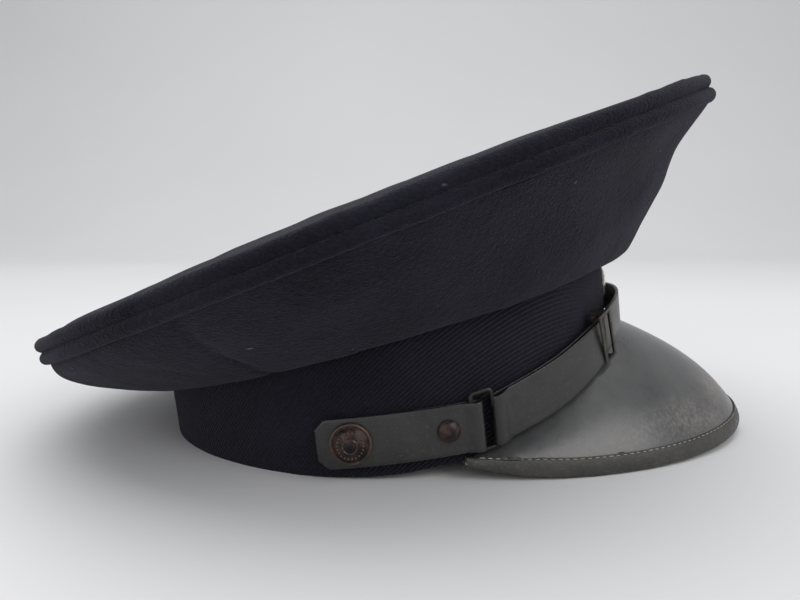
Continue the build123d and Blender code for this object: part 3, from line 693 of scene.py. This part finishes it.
class CAP_OT_crown_sides(bpy.types.Operator):
    """Make the four cloth quarters of the crown's side, with their seams and droop"""
    bl_idname = "cap.crown_sides"
    bl_label = "Crown sides"

    def execute(self, context):
        sizes = context.scene.cap_sizes
        rings = [side_ring(*ring) for ring in CROWN_RINGS] + [rim_ring(2.2, -5.2)]
        side = ring_stack("crown_side", rings, CROWN_SEGMENTS)
        tidy_normals(side)
        modify(side, "SUBSURF", levels=1, render_levels=1)
        self.press_creases(side)
        self.pinch_seams(side)
        unevenness(side, sizes.ease * 1.6, 0.035)
        modify(side, "SUBSURF", levels=1, render_levels=1)
        unevenness(side, sizes.ease * 0.5, 0.009)
        modify(side, "SOLIDIFY", thickness=sizes.cloth_thick, offset=-1)
        names = {0: "crown_panel_front_right", 1: "crown_panel_rear_right", 2: "crown_panel_rear_left",
                 3: "crown_panel_front_left"}
        nodes = {0: "crown_front_right", 1: "crown_rear_right", 2: "crown_rear_left", 3: "crown_front_left"}
        for quarter in (1, 2, 3):
            self.select_quarter(side, quarter)
            bpy.ops.object.mode_set(mode="EDIT")
            bpy.ops.mesh.separate(type="SELECTED")
            bpy.ops.object.mode_set(mode="OBJECT")
            cut = [o for o in context.selected_objects if o != side][0]
            self.finish(cut, names[quarter], nodes[quarter])
        self.finish(side, names[0], nodes[0])
        return {"FINISHED"}

    def finish(self, obj, name, node):
        obj.name = name
        obj.data.name = name
        smooth_faces(obj, 70)
        finish_piece(obj, "cap", "melton_cloth", [MATERIALS["cloth"]], node)

    def quarter_of(self, point):
        angle = math.degrees(math.atan2(-point.x, -(point.y + SEAM_AXIS * MM)))
        if angle >= 0:
            return 0 if angle < SEAM_ANGLES[1] else 1
        return 3 if angle > SEAM_ANGLES[3] else 2

    def select_quarter(self, obj, quarter):
        pick(obj)
        bpy.ops.object.mode_set(mode="EDIT")
        bpy.ops.mesh.select_mode(type="FACE")
        bpy.ops.mesh.select_all(action="DESELECT")
        bpy.ops.object.mode_set(mode="OBJECT")
        for face in obj.data.polygons:
            face.select = self.quarter_of(face.center) == quarter

    def pinch_seams(self, obj):
        """Draws the cloth in along each seam."""
        pick(obj)
        bpy.ops.object.mode_set(mode="EDIT")
        bpy.ops.mesh.select_mode(type="VERT")
        bpy.ops.mesh.select_all(action="DESELECT")
        bpy.ops.object.mode_set(mode="OBJECT")
        for vertex in obj.data.vertices:
            angle = math.degrees(math.atan2(-vertex.co.x, -(vertex.co.y + SEAM_AXIS * MM)))
            gaps = [abs((angle - seam + 180) % 360 - 180) for seam in SEAM_ANGLES]
            vertex.select = min(gaps) < SEAM_HALF_ANGLE
        bpy.ops.object.mode_set(mode="EDIT")
        bpy.ops.transform.shrink_fatten(value=-SEAM_DEPTH * MM)
        bpy.ops.object.mode_set(mode="OBJECT")

    def press_creases(self, obj):
        """Pulls a soft ridge out of the front and lets it fade towards the sides, with a hollow above it."""
        for side in (1, -1):
            for angle, up, push in ((8, 113.5, 1.6), (24, 108.0, 1.8), (38, 99.0, 1.6), (50, 88.0, 1.2),
                                    (62, 76.0, 0.8), (16, 126.0, -1.6), (32, 120.0, -1.8), (48, 108.0, -1.4),
                                    (66, 92.0, -0.8), (100, 62.0, -1.0), (128, 40.0, -1.2), (150, 30.0, 0.8)):
                self.push_spot(obj, math.radians(angle) * side, up, push)

    def push_spot(self, obj, angle, up, push):
        """Moves the cloth near one spot outwards, fading away over a palm's width."""
        direction = Vector((-math.sin(angle), -math.cos(angle), 0))
        axis = at(0, OVAL_CENTRE, 0)
        best = None
        for vertex in obj.data.vertices:
            flat = vertex.co - axis
            flat.z = 0
            turn = flat.normalized().dot(direction)
            score = (1 - turn) * 2.0 + abs(vertex.co.z - SHIFT.z - up * MM) * 10
            if flat.length > 0.094 and (best is None or score < best[0]):
                best = (score, vertex.co.copy())
        centre = best[1]
        for vertex in obj.data.vertices:
            gap = (vertex.co - centre).length
            fade = smooth(1 - gap / 0.026)
            vertex.co += direction * (push * MM * fade)


class CAP_OT_crown_top(bpy.types.Operator):
    """Make the puffed top panel and the two rolls that edge it"""
    bl_idname = "cap.crown_top"
    bl_label = "Crown top and edge rolls"

    def execute(self, context):
        sizes = context.scene.cap_sizes
        dome = sizes.top_dome / MM
        rings = []
        for inset, rise in ((4.4, 1.6), (5.2, 3.6), (7.0, 4.9), (11.0, 5.8), (20.0, 6.6), (36.0, 7.6),
                            (58.0, 8.8),
                            (84.0, 10.0), (108.0, 10.7), (128.0, 11.0)):
            puff = 1 + (dome - 8.0) / 8.0
            rings.append(rim_ring(inset, 2.6 + (rise - 2.6) * puff, back_shift=inset * 0.12))
        top = ring_stack("crown_top_panel", rings, 144, close_last=True)
        tidy_normals(top)
        if sum(face.normal.z for face in top.data.polygons) < 0:
            tidy_normals(top, flip=True)
        modify(top, "SUBSURF", levels=1, render_levels=1)
        unevenness(top, sizes.ease * 3.2, 0.05)
        unevenness(top, sizes.ease * 0.9, 0.012)
        modify(top, "SOLIDIFY", thickness=sizes.cloth_thick, offset=-1)
        modify(top, "SUBSURF", levels=1, render_levels=1)
        smooth_faces(top, 70)
        finish_piece(top, "cap", "melton_cloth", [MATERIALS["cloth"]], "crown_top")
        self.roll("crown_edge_cord", "crown_edge_roll", 2.5, 1.9, sizes)
        self.roll("crown_piping", "crown_welt", -2.5, 1.7, sizes)
        return {"FINISHED"}

    def roll(self, name, node, rise, inset, sizes):
        deselect_all()
        bpy.ops.mesh.primitive_torus_add(major_segments=260, minor_segments=18,
                                         major_radius=(RIM_WIDE - inset) * MM, minor_radius=sizes.roll_radius,
                                         location=rim_point(0, 0, rise), rotation=(-RIM_TILT, 0, 0))
        obj = named(name)
        obj.scale = (1, RIM_LONG / RIM_WIDE, 1)
        settle(obj)
        unevenness(obj, sizes.ease * 0.9, 0.02)
        unevenness(obj, sizes.ease * 0.5, 0.006)
        smooth_faces(obj, 80)
        finish_piece(obj, "cap", "melton_cloth", [MATERIALS["cloth"]], node)


# ---- headband ---------------------------------------------------------------------------------------
class CAP_OT_headband(bpy.types.Operator):
    """Make the headband's cloth with its turned hem, and the sweatband inside it"""
    bl_idname = "cap.headband"
    bl_label = "Headband"

    def execute(self, context):
        sizes = context.scene.cap_sizes

        def band_top(forward):
            return 38.0 + (forward + 109.0) * 39.0 / 199.0

        def band_spot(s, t):
            angle = s * 2 * math.pi
            forward = OVAL_CENTRE + OVAL_LONG * math.cos(angle)
            base = lower_edge(forward)
            up = base + (band_top(forward) - base) * t
            hem = -0.35 * smooth(1 - abs(up - base - 2.6) / 0.7)
            return at(*oval_point(BAND_OVAL, hem, angle, up))

        band = grid_sheet("headband_cloth", 288, 44, band_spot)
        tidy_normals(band)
        unevenness(band, sizes.ease * 0.5, 0.02)
        modify(band, "SOLIDIFY", thickness=(BAND_THICK - 0.1) * MM, offset=-1)
        smooth_faces(band, 60)
        finish_piece(band, "cap", "melton_cloth", [MATERIALS["band"]], "band_cloth")

        outset = -5.1

        def sweat_spot(s, t):
            angle = s * 2 * math.pi
            forward = OVAL_CENTRE + OVAL_LONG * math.cos(angle)
            base = lower_edge(forward) + 1.4
            top = min(base + 36.0, band_top(forward) - 3.5)
            up = base + (top - base) * t
            flare = 0.9 * smooth(1 - t * 5) - 0.4 * smooth(1 - abs(t - 0.09) / 0.03)
            return at(*oval_point(BAND_OVAL, outset + flare, angle, up))

        sweat = grid_sheet("sweatband_leather", 240, 40, sweat_spot)
        tidy_normals(sweat)
        unevenness(sweat, sizes.ease * 0.8, 0.03)
        modify(sweat, "SOLIDIFY", thickness=1.1 * MM, offset=-1)
        smooth_faces(sweat, 60)
        finish_piece(sweat, "cap", "sweatband_leather", [MATERIALS["sweat"]], "sweatband")
        return {"FINISHED"}


class CAP_OT_lining(bpy.types.Operator):
    """Make the crown's gathered cotton lining, its round top and the sweatband's bow"""
    bl_idname = "cap.lining"
    bl_label = "Lining"

    def execute(self, context):
        rings = [side_ring((-103.4, 40.3), (84.0, 78.4), 79.2), side_ring((-106.0, 41.4), (86.5, 86.0), 86.0),
                 side_ring((-110.0, 42.6), (89.5, 104.0), 96.5),
                 side_ring((-111.8, 44.6), (89.7, 116.0), 100.0),
                 side_ring((-111.5, 45.2), (89.5, 121.2), 101.0)]
        wall = ring_stack("lining_wall", rings, 180)
        tidy_normals(wall)
        modify(wall, "SUBSURF", levels=1, render_levels=1)
        for vertex in wall.data.vertices:
            angle = math.atan2(vertex.co.x, vertex.co.y)
            fold = math.sin(angle * 34) * 0.5 + math.sin(angle * 21 + 1.3) * 0.4
            vertex.co.x *= 1 + fold * 0.006
            vertex.co.z += fold * 0.25 * MM
        modify(wall, "SOLIDIFY", thickness=0.8 * MM, offset=-1)
        smooth_faces(wall, 60)
        finish_piece(wall, "cap", "lining_cloth", [MATERIALS["lining"]], "lining_side")

        lid_rings = []
        for share in (1.0, 0.93, 0.75, 0.5, 0.25, 0.08):
            centre, tilt, wide, long = side_ring((-111.0, 44.6), (88.5, 120.4), 99.5)
            lift = (1 - share**2) * 2.0 * MM - 0.6 * MM
            lid_rings.append((centre + Vector((0, 0, lift)), tilt, wide * share, long * share))
        lid = ring_stack("lining_lid", lid_rings, 120, close_last=True)
        tidy_normals(lid)
        unevenness(lid, 1.4 * MM, 0.04)
        modify(lid, "SOLIDIFY", thickness=0.8 * MM, offset=-1)
        smooth_faces(lid, 60)
        finish_piece(lid, "cap", "lining_cloth", [MATERIALS["lining"]], "lining_top")

        bow = cad_copy("sweatband_ribbon_bow", "sweatband_bow")
        modify(bow, "BEVEL", width=0.4 * MM, segments=3, limit_method="ANGLE")
        smooth_faces(bow, 60)
        finish_piece(bow, "cap", "ribbon", [MATERIALS["ribbon"]], "sweatband_bow")
        return {"FINISHED"}


# ---- visor ------------------------------------------------------------------------------------------
def visor_turn(s):
    """Angle of a visor section, s from 0 on the left to 1 on the right."""
    return math.radians(VISOR_HALF_ANGLE * (2 * s - 1))


class CAP_OT_visor(bpy.types.Operator):
    """Make the visor's leather, its lining, its folded binding and the stitches that hold it"""
    bl_idname = "cap.visor"
    bl_label = "Visor"

    def execute(self, context):
        sizes = context.scene.cap_sizes
        top = grid_sheet("visor_top_leather", 150, 48, lambda s, t: on_visor(visor_turn(s), t))
        if top.data.polygons[len(top.data.polygons) // 2].normal.z < 0:
            pick(top)
            bpy.ops.object.mode_set(mode="EDIT")
            bpy.ops.mesh.select_all(action="SELECT")
            bpy.ops.mesh.flip_normals()
            bpy.ops.object.mode_set(mode="OBJECT")
        unevenness(top, sizes.ease * 0.8, 0.04)
        modify(top, "SOLIDIFY", thickness=1.5 * MM, offset=-1)
        smooth_faces(top, 60)
        finish_piece(top, "cap", "visor_leather", [MATERIALS["visor"]], "visor")

        under = cad_copy("visor_under_leather", "visor_lining")
        smooth_faces(under, 40)
        finish_piece(under, "cap", "visor_lining", [MATERIALS["under"]], "visor_lining")
        self.binding(sizes)
        self.stitches(sizes)
        return {"FINISHED"}

    def rim_frame(self, angle):
        """Rim point, and directions off the rim and up from the face, on one ray."""
        root, bend, rim = visor_line(angle)
        run = Vector((rim[0] - bend[0], rim[1] - bend[1])).normalized()
        share = min(1.0, (rim[0] - root[0]) / 12.0)
        return Vector(rim), run, share

    def spot(self, angle, off, above):
        rim, run, share = self.rim_frame(angle)
        reach = rim.x + run.x * off * (share if off < 0 else 1)
        up = rim.y + run.y * off * (share if off < 0 else 1) + above
        return at(-reach * math.sin(angle), VISOR_AXIS + reach * math.cos(angle), up)

    def binding(self, sizes):
        """Leather strip folded round the rim, a little puffed between its edge and its stitches."""
        profile = [(-4.0, 0.05), (-3.9, 0.45), (-3.3, 0.62), (-2.9, 0.50), (-2.2, 0.80), (-1.0, 0.95),
                   (0.0, 0.75),
                   (0.75, 0.2), (1.0, -0.8), (0.95, -1.7), (0.6, -2.5), (-0.2, -3.1), (-1.5, -3.35),
                   (-2.9, -3.2),
                   (-3.9, -3.45), (-4.0, -3.0)]

        def place(s, t):
            index = t * (len(profile) - 1)
            first = min(int(index), len(profile) - 2)
            part = index - first
            off = profile[first][0] * (1 - part) + profile[first + 1][0] * part
            above = profile[first][1] * (1 - part) + profile[first + 1][1] * part
            return self.spot(visor_turn(s), off, above)

        strip = grid_sheet("visor_edge_binding", 260, 30, place)
        tidy_normals(strip)
        outward = strip.data.polygons[len(strip.data.polygons) // 2 + 8]
        if outward.normal.dot(Vector((0, -1, 0.2))) < 0:
            tidy_normals(strip, flip=True)
        unevenness(strip, sizes.ease * 0.45, 0.008)
        modify(strip, "SOLIDIFY", thickness=0.5 * MM, offset=-1)
        smooth_faces(strip, 60)
        finish_piece(strip, "cap", "visor_binding", [MATERIALS["binding"]], "visor_binding")

    def stitches(self, sizes):
        """Row of pale stitches along the binding's inner edge, each a short bulging thread."""
        stitches = []
        random.seed(7)
        step = sizes.stitch_length * 1.35
        travelled = 0.0
        last = self.spot(visor_turn(0.02), -STITCH_OFF_RIM, 0.75)
        samples = 1400
        for index in range(samples):
            s = 0.02 + 0.96 * index / samples
            here = self.spot(visor_turn(s), -STITCH_OFF_RIM, 0.72)
            travelled += (here - last).length
            if travelled > step:
                travelled = 0.0
                ahead = self.spot(visor_turn(s + 0.002), -STITCH_OFF_RIM, 0.72)
                stitches.append((here, (ahead - here).normalized()))
            last = here
        parts = []
        deselect_all()
        bpy.ops.mesh.primitive_uv_sphere_add(segments=8, ring_count=6, radius=1)
        model = named("stitch_model")
        for place, along in stitches:
            deselect_all()
            part = model.copy()
            part.data = model.data.copy()
            bpy.context.scene.collection.objects.link(part)
            part.scale = (0.27 * MM, sizes.stitch_length / 2 * random.uniform(0.85, 1.05), 0.22 * MM)
            part.rotation_mode = "QUATERNION"
            part.rotation_quaternion = along.to_track_quat("Y", "Z")
            part.location = place
            parts.append(part)
        bpy.data.objects.remove(model)
        thread = joined("visor_stitches", parts)
        settle(thread)
        smooth_faces(thread, 80)
        finish_piece(thread, "cap", "visor_binding", [MATERIALS["thread"]])


# ---- chin strap -------------------------------------------------------------------------------------
def tab_middle(forward):
    """Height of the tab's centre line."""
    return BUTTON_AT[1] + (forward - BUTTON_AT[0]) * TAB_SLOPE


def leather_ribbon(name, path, half_lines, side, rows=12):
    """Leather strip along a path of (forward or angle, outset), between two height lines, on one side."""
    def place(s, t):
        index = s * (len(path) - 1)
        first = min(int(index), len(path) - 2)
        part = index - first
        angle = path[first][0] * (1 - part) + path[first + 1][0] * part
        outset = path[first][1] * (1 - part) + path[first + 1][1] * part
        low, high = half_lines(angle)
        up = low + (high - low) * t
        across, forward, height = oval_point(STRAP_OVAL, outset, angle, up)
        return at(across * side, forward, height)

    return grid_sheet(name, len(path) * 2, rows, place)


def strap_heights(angle):
    """Lower and upper heights of the long strap at an angle round from the front."""
    up = 45.0
    for _ in range(6):
        forward = STRAP_OVAL[0] - LEAN_BACK * up + STRAP_OVAL[1] * math.cos(angle)
        low, high = through(LOWER_LINE, forward), through(UPPER_LINE, forward)
        up = (low + high) / 2
    return low, high


def tab_heights(angle):
    """Lower and upper heights of the tab, with the corners of its free end cut."""
    up = 15.0
    for _ in range(3):
        forward = STRAP_OVAL[0] - LEAN_BACK * up + STRAP_OVAL[1] * math.cos(angle)
        up = tab_middle(forward)
    tall = TAB_HALF_TALL - max(0.0, 3.6 - (forward - TAB_BACK))
    return up - tall, up + tall


def finish_leather(obj):
    """Gives a strap piece its thickness, its rounded edges and its raw edge colour."""
    modify(obj, "SOLIDIFY", thickness=LEATHER * MM, offset=0, material_offset_rim=1)
    modify(obj, "BEVEL", width=0.28 * MM, segments=2, limit_method="ANGLE", angle_limit=math.radians(50))
    smooth_faces(obj, 45)


class CAP_OT_chin_strap(bpy.types.Operator):
    """Make the chin strap's tabs, its long strap and the leaves folded back round the rings"""
    bl_idname = "cap.chin_strap"
    bl_label = "Chin strap"

    def execute(self, context):
        inner = LEATHER / 2
        outer = LEATHER * 1.5 + 0.3
        bar_out = 2.5
        wrap = bar_out - inner
        for side, label in ((1, "right"), (-1, "left")):
            rear_bar = oval_angle(STRAP_OVAL, RING_BARS[0], 20.6)
            front_bar = oval_angle(STRAP_OVAL, RING_BARS[1], 23.0)
            per_mm = (rear_bar - front_bar) / 8.3
            start = oval_angle(STRAP_OVAL, TAB_BACK, 14.0)
            stop = oval_angle(STRAP_OVAL, 7.0, 18.0)
            path = [(start + (rear_bar + 5 * per_mm - start) * k / 24, outer) for k in range(24)]
            path += [(rear_bar + 5 * per_mm * (1 - k / 4), outer + (bar_out + wrap - outer) * smooth(k / 4))
                     for k in range(5)]
            path += [(rear_bar - wrap * per_mm * math.sin(math.pi * k / 8),
                      bar_out + wrap * math.cos(math.pi * k / 8))
                     for k in range(1, 9)]
            path += [(rear_bar + (stop - rear_bar) * k / 10, inner) for k in range(1, 11)]
            tab = leather_ribbon(f"strap_tab_leather_{label}", path, tab_heights, side)
            tidy_normals(tab)
            finish_leather(tab)
            finish_piece(tab, "chin_strap", "strap_leather", [MATERIALS["strap"], MATERIALS["edge"]],
                         f"strap_tab_{label}")
        start = oval_angle(STRAP_OVAL, SLIDE_AT, 46.0)
        front_bar = oval_angle(STRAP_OVAL, RING_BARS[1], 23.0)
        per_mm = (front_bar - start) / 60.0
        half = [(start + (front_bar - 5 * per_mm - start) * k / 30, outer) for k in range(30)]
        half += [(front_bar - 5 * per_mm * (1 - k / 4), outer + (bar_out + wrap - outer) * smooth(k / 4))
                 for k in range(5)]
        half += [(front_bar + wrap * per_mm * math.sin(math.pi * k / 8),
                  bar_out + wrap * math.cos(math.pi * k / 8))
                 for k in range(1, 9)]
        half += [(front_bar * (1 - k / 60), inner) for k in range(1, 61)]
        other = [(-angle, outset) for angle, outset in half[-2::-1]]

        def heights(angle):
            return strap_heights(abs(angle))

        long_strap = leather_ribbon("chin_strap_leather", half + other, heights, 1, rows=14)
        tidy_normals(long_strap)
        finish_leather(long_strap)
        finish_piece(long_strap, "chin_strap", "strap_leather", [MATERIALS["strap"], MATERIALS["edge"]],
                     "front_strap", "strap_leaf_right", "strap_leaf_left")
        return {"FINISHED"}


class CAP_OT_buckles(bpy.types.Operator):
    """Make the rings and slides that join the chin strap's pieces"""
    bl_idname = "cap.buckles"
    bl_label = "Rings and slides"

    def execute(self, context):
        for label in ("right", "left"):
            for kind, width in (("ring", 0.12), ("slide", 0.3)):
                node = f"strap_{kind}_{label}"
                obj = cad_copy(f"strap_{kind}_metal_{label}", node)
                modify(obj, "BEVEL", width=width * MM, segments=3, limit_method="ANGLE",
                       angle_limit=math.radians(40))
                smooth_faces(obj, 50)
                finish_piece(obj, node, "black_metal", [MATERIALS["black_metal"]], node)
        return {"FINISHED"}


# ---- turned metal -----------------------------------------------------------------------------------
def turned(name, profile, centre, outward, segments=64):
    """Turned piece from (radius, height) rings, standing on centre and facing outward."""
    turn = outward.to_track_quat("Z", "Y").to_euler()
    rings = [(centre + outward * (height * MM), turn, radius * MM, radius * MM) for radius, height in profile]
    obj = ring_stack(name, rings, segments, close_last=True)
    tidy_normals(obj)
    return obj


def strap_facing(forward, up, outset, side):
    """Point on the strap's outer face on one side of the head, and the direction it faces."""
    angle = oval_angle(STRAP_OVAL, forward, up)
    across, ahead, height = oval_point(STRAP_OVAL, outset, angle, up)
    normal = Vector((-math.sin(angle) / STRAP_OVAL[2] * side, -math.cos(angle) / STRAP_OVAL[1], 0))
    return at(across * side, ahead, height), normal.normalized()


class CAP_OT_buttons(bpy.types.Operator):
    """Make the side buttons and the tab studs"""
    bl_idname = "cap.buttons"
    bl_label = "Buttons and studs"

    def execute(self, context):
        button_profile = [(6.0, 0.05), (7.6, 0.1), (7.85, 0.5), (7.8, 1.0), (7.4, 1.45), (6.9, 1.5),
                          (6.6, 1.25),
                          (6.3, 1.5), (5.6, 2.15), (4.6, 2.85), (3.4, 3.5), (2.0, 3.95), (0.8, 4.12),
                          (0.25, 4.15)]
        stud_profile = [(3.4, 0.05), (4.2, 0.1), (4.3, 0.5), (4.05, 1.0), (3.5, 1.6), (2.7, 2.1), (1.7, 2.45),
                        (0.8, 2.58), (0.2, 2.6)]
        for side, label in ((1, "right"), (-1, "left")):
            low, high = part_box(f"side_button_{label}")
            tip = low if side == 1 else high
            outward = Vector((-side, 0, 0))
            middle = (low + high) / 2
            face = Vector((tip.x - outward.x * BUTTON_PROUD * MM, middle.y, middle.z))
            dome = turned(f"button_dome_{label}", button_profile, face, outward)
            beads = []
            for index in range(22):
                spin = 2 * math.pi * index / 22
                deselect_all()
                bpy.ops.mesh.primitive_uv_sphere_add(segments=10, ring_count=6, radius=0.42 * MM,
                                                     location=face + outward * 2.75 * MM + Vector(
                    (0, 4.75 * MM * math.cos(spin), 4.75 * MM * math.sin(spin))))
                beads.append(bpy.context.object)
            deselect_all()
            bpy.ops.mesh.primitive_torus_add(major_segments=48, minor_segments=10, major_radius=2.6 * MM,
                                             minor_radius=0.32 * MM, location=face + outward * 3.7 * MM,
                                             rotation=(0, math.pi / 2, 0))
            beads.append(bpy.context.object)
            shank = cad_copy(f"button_shank_{label}", f"side_button_{label}")
            pick(shank)
            bpy.ops.object.mode_set(mode="EDIT")
            bpy.ops.mesh.select_all(action="SELECT")
            bpy.ops.mesh.bisect(plane_co=face + outward * 0.2 * MM, plane_no=outward, clear_outer=True,
                                use_fill=True)
            bpy.ops.object.mode_set(mode="OBJECT")
            button = joined(f"side_button_metal_{label}", [dome, shank] + beads)
            settle(button)
            smooth_faces(button, 50)
            finish_piece(button, f"side_button_{label}", "button_metal", [MATERIALS["button"]],
                         f"side_button_{label}")

            spot, facing = strap_facing(*STUD_AT, 2 * LEATHER + 0.3, side)
            cap = turned(f"stud_cap_{label}", stud_profile, spot, facing, 48)
            smooth_faces(cap, 50)
            finish_piece(cap, "chin_strap", "black_metal", [MATERIALS["button"]], f"tab_stud_{label}")
        return {"FINISHED"}


class CAP_OT_badge(bpy.types.Operator):
    """Make a plain wreath badge with a blank centre"""
    bl_idname = "cap.badge"
    bl_label = "Badge"

    def execute(self, context):
        lean = math.atan(LEAN_BACK)
        outward = Vector((0, -math.cos(lean), math.sin(lean)))
        up = Vector((0, math.sin(lean), math.cos(lean)))
        centre = at(0, OVAL_CENTRE - LEAN_BACK * BADGE_UP + OVAL_LONG, BADGE_UP)
        plate = [(8.8, 0.15), (9.2, 0.3), (9.3, 0.8), (8.9, 1.1), (8.2, 1.0), (7.4, 0.9), (5.8, 0.9),
                 (5.6, 1.5),
                 (5.2, 1.9), (4.7, 1.8), (4.4, 1.6), (3.0, 1.9), (1.4, 2.1), (0.4, 2.15)]
        parts = [turned("badge_plate", plate, centre, outward, 72)]
        for index in range(18):
            spin = math.radians(20 + index * 320 / 17 - 90)
            radial = Vector((math.cos(spin), 0, 0)) + up * math.sin(spin)
            deselect_all()
            bpy.ops.mesh.primitive_uv_sphere_add(segments=12, ring_count=8, radius=1)
            leaf = bpy.context.object
            leaf.scale = (0.75 * MM, 1.75 * MM, 0.55 * MM)
            leaf.rotation_mode = "QUATERNION"
            tangent = Vector((-math.sin(spin), 0, 0)) + up * math.cos(spin)
            tilt = 0.6 if index % 2 else -0.6
            leaf.rotation_quaternion = (tangent + radial * tilt).normalized().to_track_quat("Y", "Z")
            leaf.location = centre + radial * (7.3 * MM) + outward * (1.25 * MM)
            parts.append(leaf)
        post = cad_copy("badge_post", "cap_badge")
        pick(post)
        bpy.ops.object.mode_set(mode="EDIT")
        bpy.ops.mesh.select_all(action="SELECT")
        bpy.ops.mesh.bisect(plane_co=centre + outward * 0.3 * MM, plane_no=outward, clear_outer=True,
                            use_fill=True)
        bpy.ops.object.mode_set(mode="OBJECT")
        badge = joined("badge_wreath", parts + [post])
        settle(badge)
        smooth_faces(badge, 45)
        finish_piece(badge, "cap", "badge_metal", [MATERIALS["badge"]], "cap_badge")
        return {"FINISHED"}


class CAP_OT_fittings(bpy.types.Operator):
    """Give the small hidden fittings their finishes"""
    bl_idname = "cap.fittings"
    bl_label = "Hidden fittings"

    def execute(self, context):
        finishes = {"band_board": "board", "front_stay": "board", "sweatband_reed": "edge",
                    "crown_wire": "steel",
                    "wire_ferrule": "brass", "badge_keeper": "brass"}
        for label in ("right", "left"):
            finishes[f"band_eyelet_{label}"] = "brass"
            finishes[f"button_cotter_{label}"] = "brass"
        for node, finish in finishes.items():
            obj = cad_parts[node]
            obj.data.materials.clear()
            obj.data.materials.append(MATERIALS[finish])
        return {"FINISHED"}


# ---- stage ------------------------------------------------------------------------------------------
CAMERA_FOCAL = 31.5
CAMERA_AT = (-329.7, 7.31, 99.54)
CAMERA_PITCH = math.radians(7.646)
CAMERA_YAW = math.radians(1.423)


def area_light(name, place, aim, size, power, colour=(1, 1, 1)):
    """Soft square light that faces a point."""
    deselect_all()
    bpy.ops.object.light_add(type="AREA", location=place)
    light = bpy.context.object
    light.name = name
    light.data.shape = "SQUARE"
    light.data.size = size
    light.data.energy = power
    light.data.color = colour
    light.rotation_euler = (Vector(aim) - Vector(place)).to_track_quat("-Z", "Y").to_euler()
    return light


class CAP_OT_stage(bpy.types.Operator):
    """Make the pale floor and backdrop, the soft lights and the camera"""
    bl_idname = "cap.stage"
    bl_label = "Stage"

    def execute(self, context):
        def sweep_spot(s, t):
            run = -1.6 + 3.9 * t
            bend = max(0.0, run - 1.0)
            return Vector((run if run < 1.0 else 1.0 + 0.8 * math.sin(min(bend / 0.8, math.pi / 2)),
                           (s - 0.5) * 7.0,
                           0.0 if run < 1.0 else 0.8 * (1 - math.cos(min(bend / 0.8, math.pi / 2)))
                           + max(0.0, bend - 0.8 * math.pi / 2)))

        floor = grid_sheet("studio_floor", 8, 60, sweep_spot)
        smooth_faces(floor, 60)
        floor.data.materials.append(floor_material())
        area_light("overhead_softbox", (0.1, 0.15, 1.5), (0, 0, 0.05), 1.7, 17)
        area_light("key_softbox", (-0.9, -1.1, 1.0), (0, -0.02, 0.08), 1.1, 10)
        area_light("fill_softbox", (-1.2, 0.9, 0.6), (0, 0.02, 0.08), 1.3, 4)
        world = bpy.data.worlds.new("studio_air")
        context.scene.world = world
        world.use_nodes = True
        background = world.node_tree.nodes["Background"]
        background.inputs["Color"].default_value = (0.93, 0.94, 0.96, 1)
        background.inputs["Strength"].default_value = 0.62
        deselect_all()
        eye = at(*CAMERA_AT)
        view = Vector((math.cos(CAMERA_PITCH) * math.cos(CAMERA_YAW),
                       math.cos(CAMERA_PITCH) * math.sin(CAMERA_YAW),
                       -math.sin(CAMERA_PITCH)))
        bpy.ops.object.camera_add(location=eye, rotation=view.to_track_quat("-Z", "Y").to_euler())
        camera = bpy.context.object
        camera.data.sensor_width = 36
        camera.data.lens = CAMERA_FOCAL
        camera.data.clip_start = 0.01
        context.scene.camera = camera
        context.scene.view_settings.view_transform = "Standard"
        return {"FINISHED"}


OPERATORS = (CAP_OT_stage, CAP_OT_crown_sides, CAP_OT_crown_top, CAP_OT_headband, CAP_OT_lining, CAP_OT_visor,
             CAP_OT_chin_strap, CAP_OT_buckles, CAP_OT_buttons, CAP_OT_badge, CAP_OT_fittings)


class CAP_PT_panel(bpy.types.Panel):
    """Lists the cap's pieces and sizes"""
    bl_idname = "CAP_PT_panel"
    bl_label = "Peaked Cap"
    bl_space_type = "VIEW_3D"
    bl_region_type = "UI"
    bl_category = "Peaked Cap"

    def draw(self, context):
        for group in (context.scene.cap_sizes, context.scene.cap_colours):
            for key in group.bl_rna.properties.keys():
                if key not in ("rna_type", "name"):
                    self.layout.prop(group, key)
        for operator in OPERATORS:
            self.layout.operator(operator.bl_idname)


CLASSES = (CapSizes, CapColours, *OPERATORS, CAP_PT_panel)


def register():
    """Registers the classes and the scene's settings."""
    for cls in CLASSES:
        bpy.utils.register_class(cls)
    bpy.types.Scene.cap_sizes = bpy.props.PointerProperty(type=CapSizes)
    bpy.types.Scene.cap_colours = bpy.props.PointerProperty(type=CapColours)


def unregister():
    """Takes them away again."""
    del bpy.types.Scene.cap_sizes
    del bpy.types.Scene.cap_colours
    for cls in reversed(CLASSES):
        bpy.utils.unregister_class(cls)


def main():
    """Builds the cap."""
    register()
    make_materials(bpy.context.scene.cap_colours)
    bpy.ops.cap.stage()
    bpy.ops.cap.crown_sides()
    bpy.ops.cap.crown_top()
    bpy.ops.cap.headband()
    bpy.ops.cap.lining()
    bpy.ops.cap.visor()
    bpy.ops.cap.chin_strap()
    bpy.ops.cap.buckles()
    bpy.ops.cap.buttons()
    bpy.ops.cap.badge()
    bpy.ops.cap.fittings()
    deselect_all()


if __name__ == "__main__":
    main()
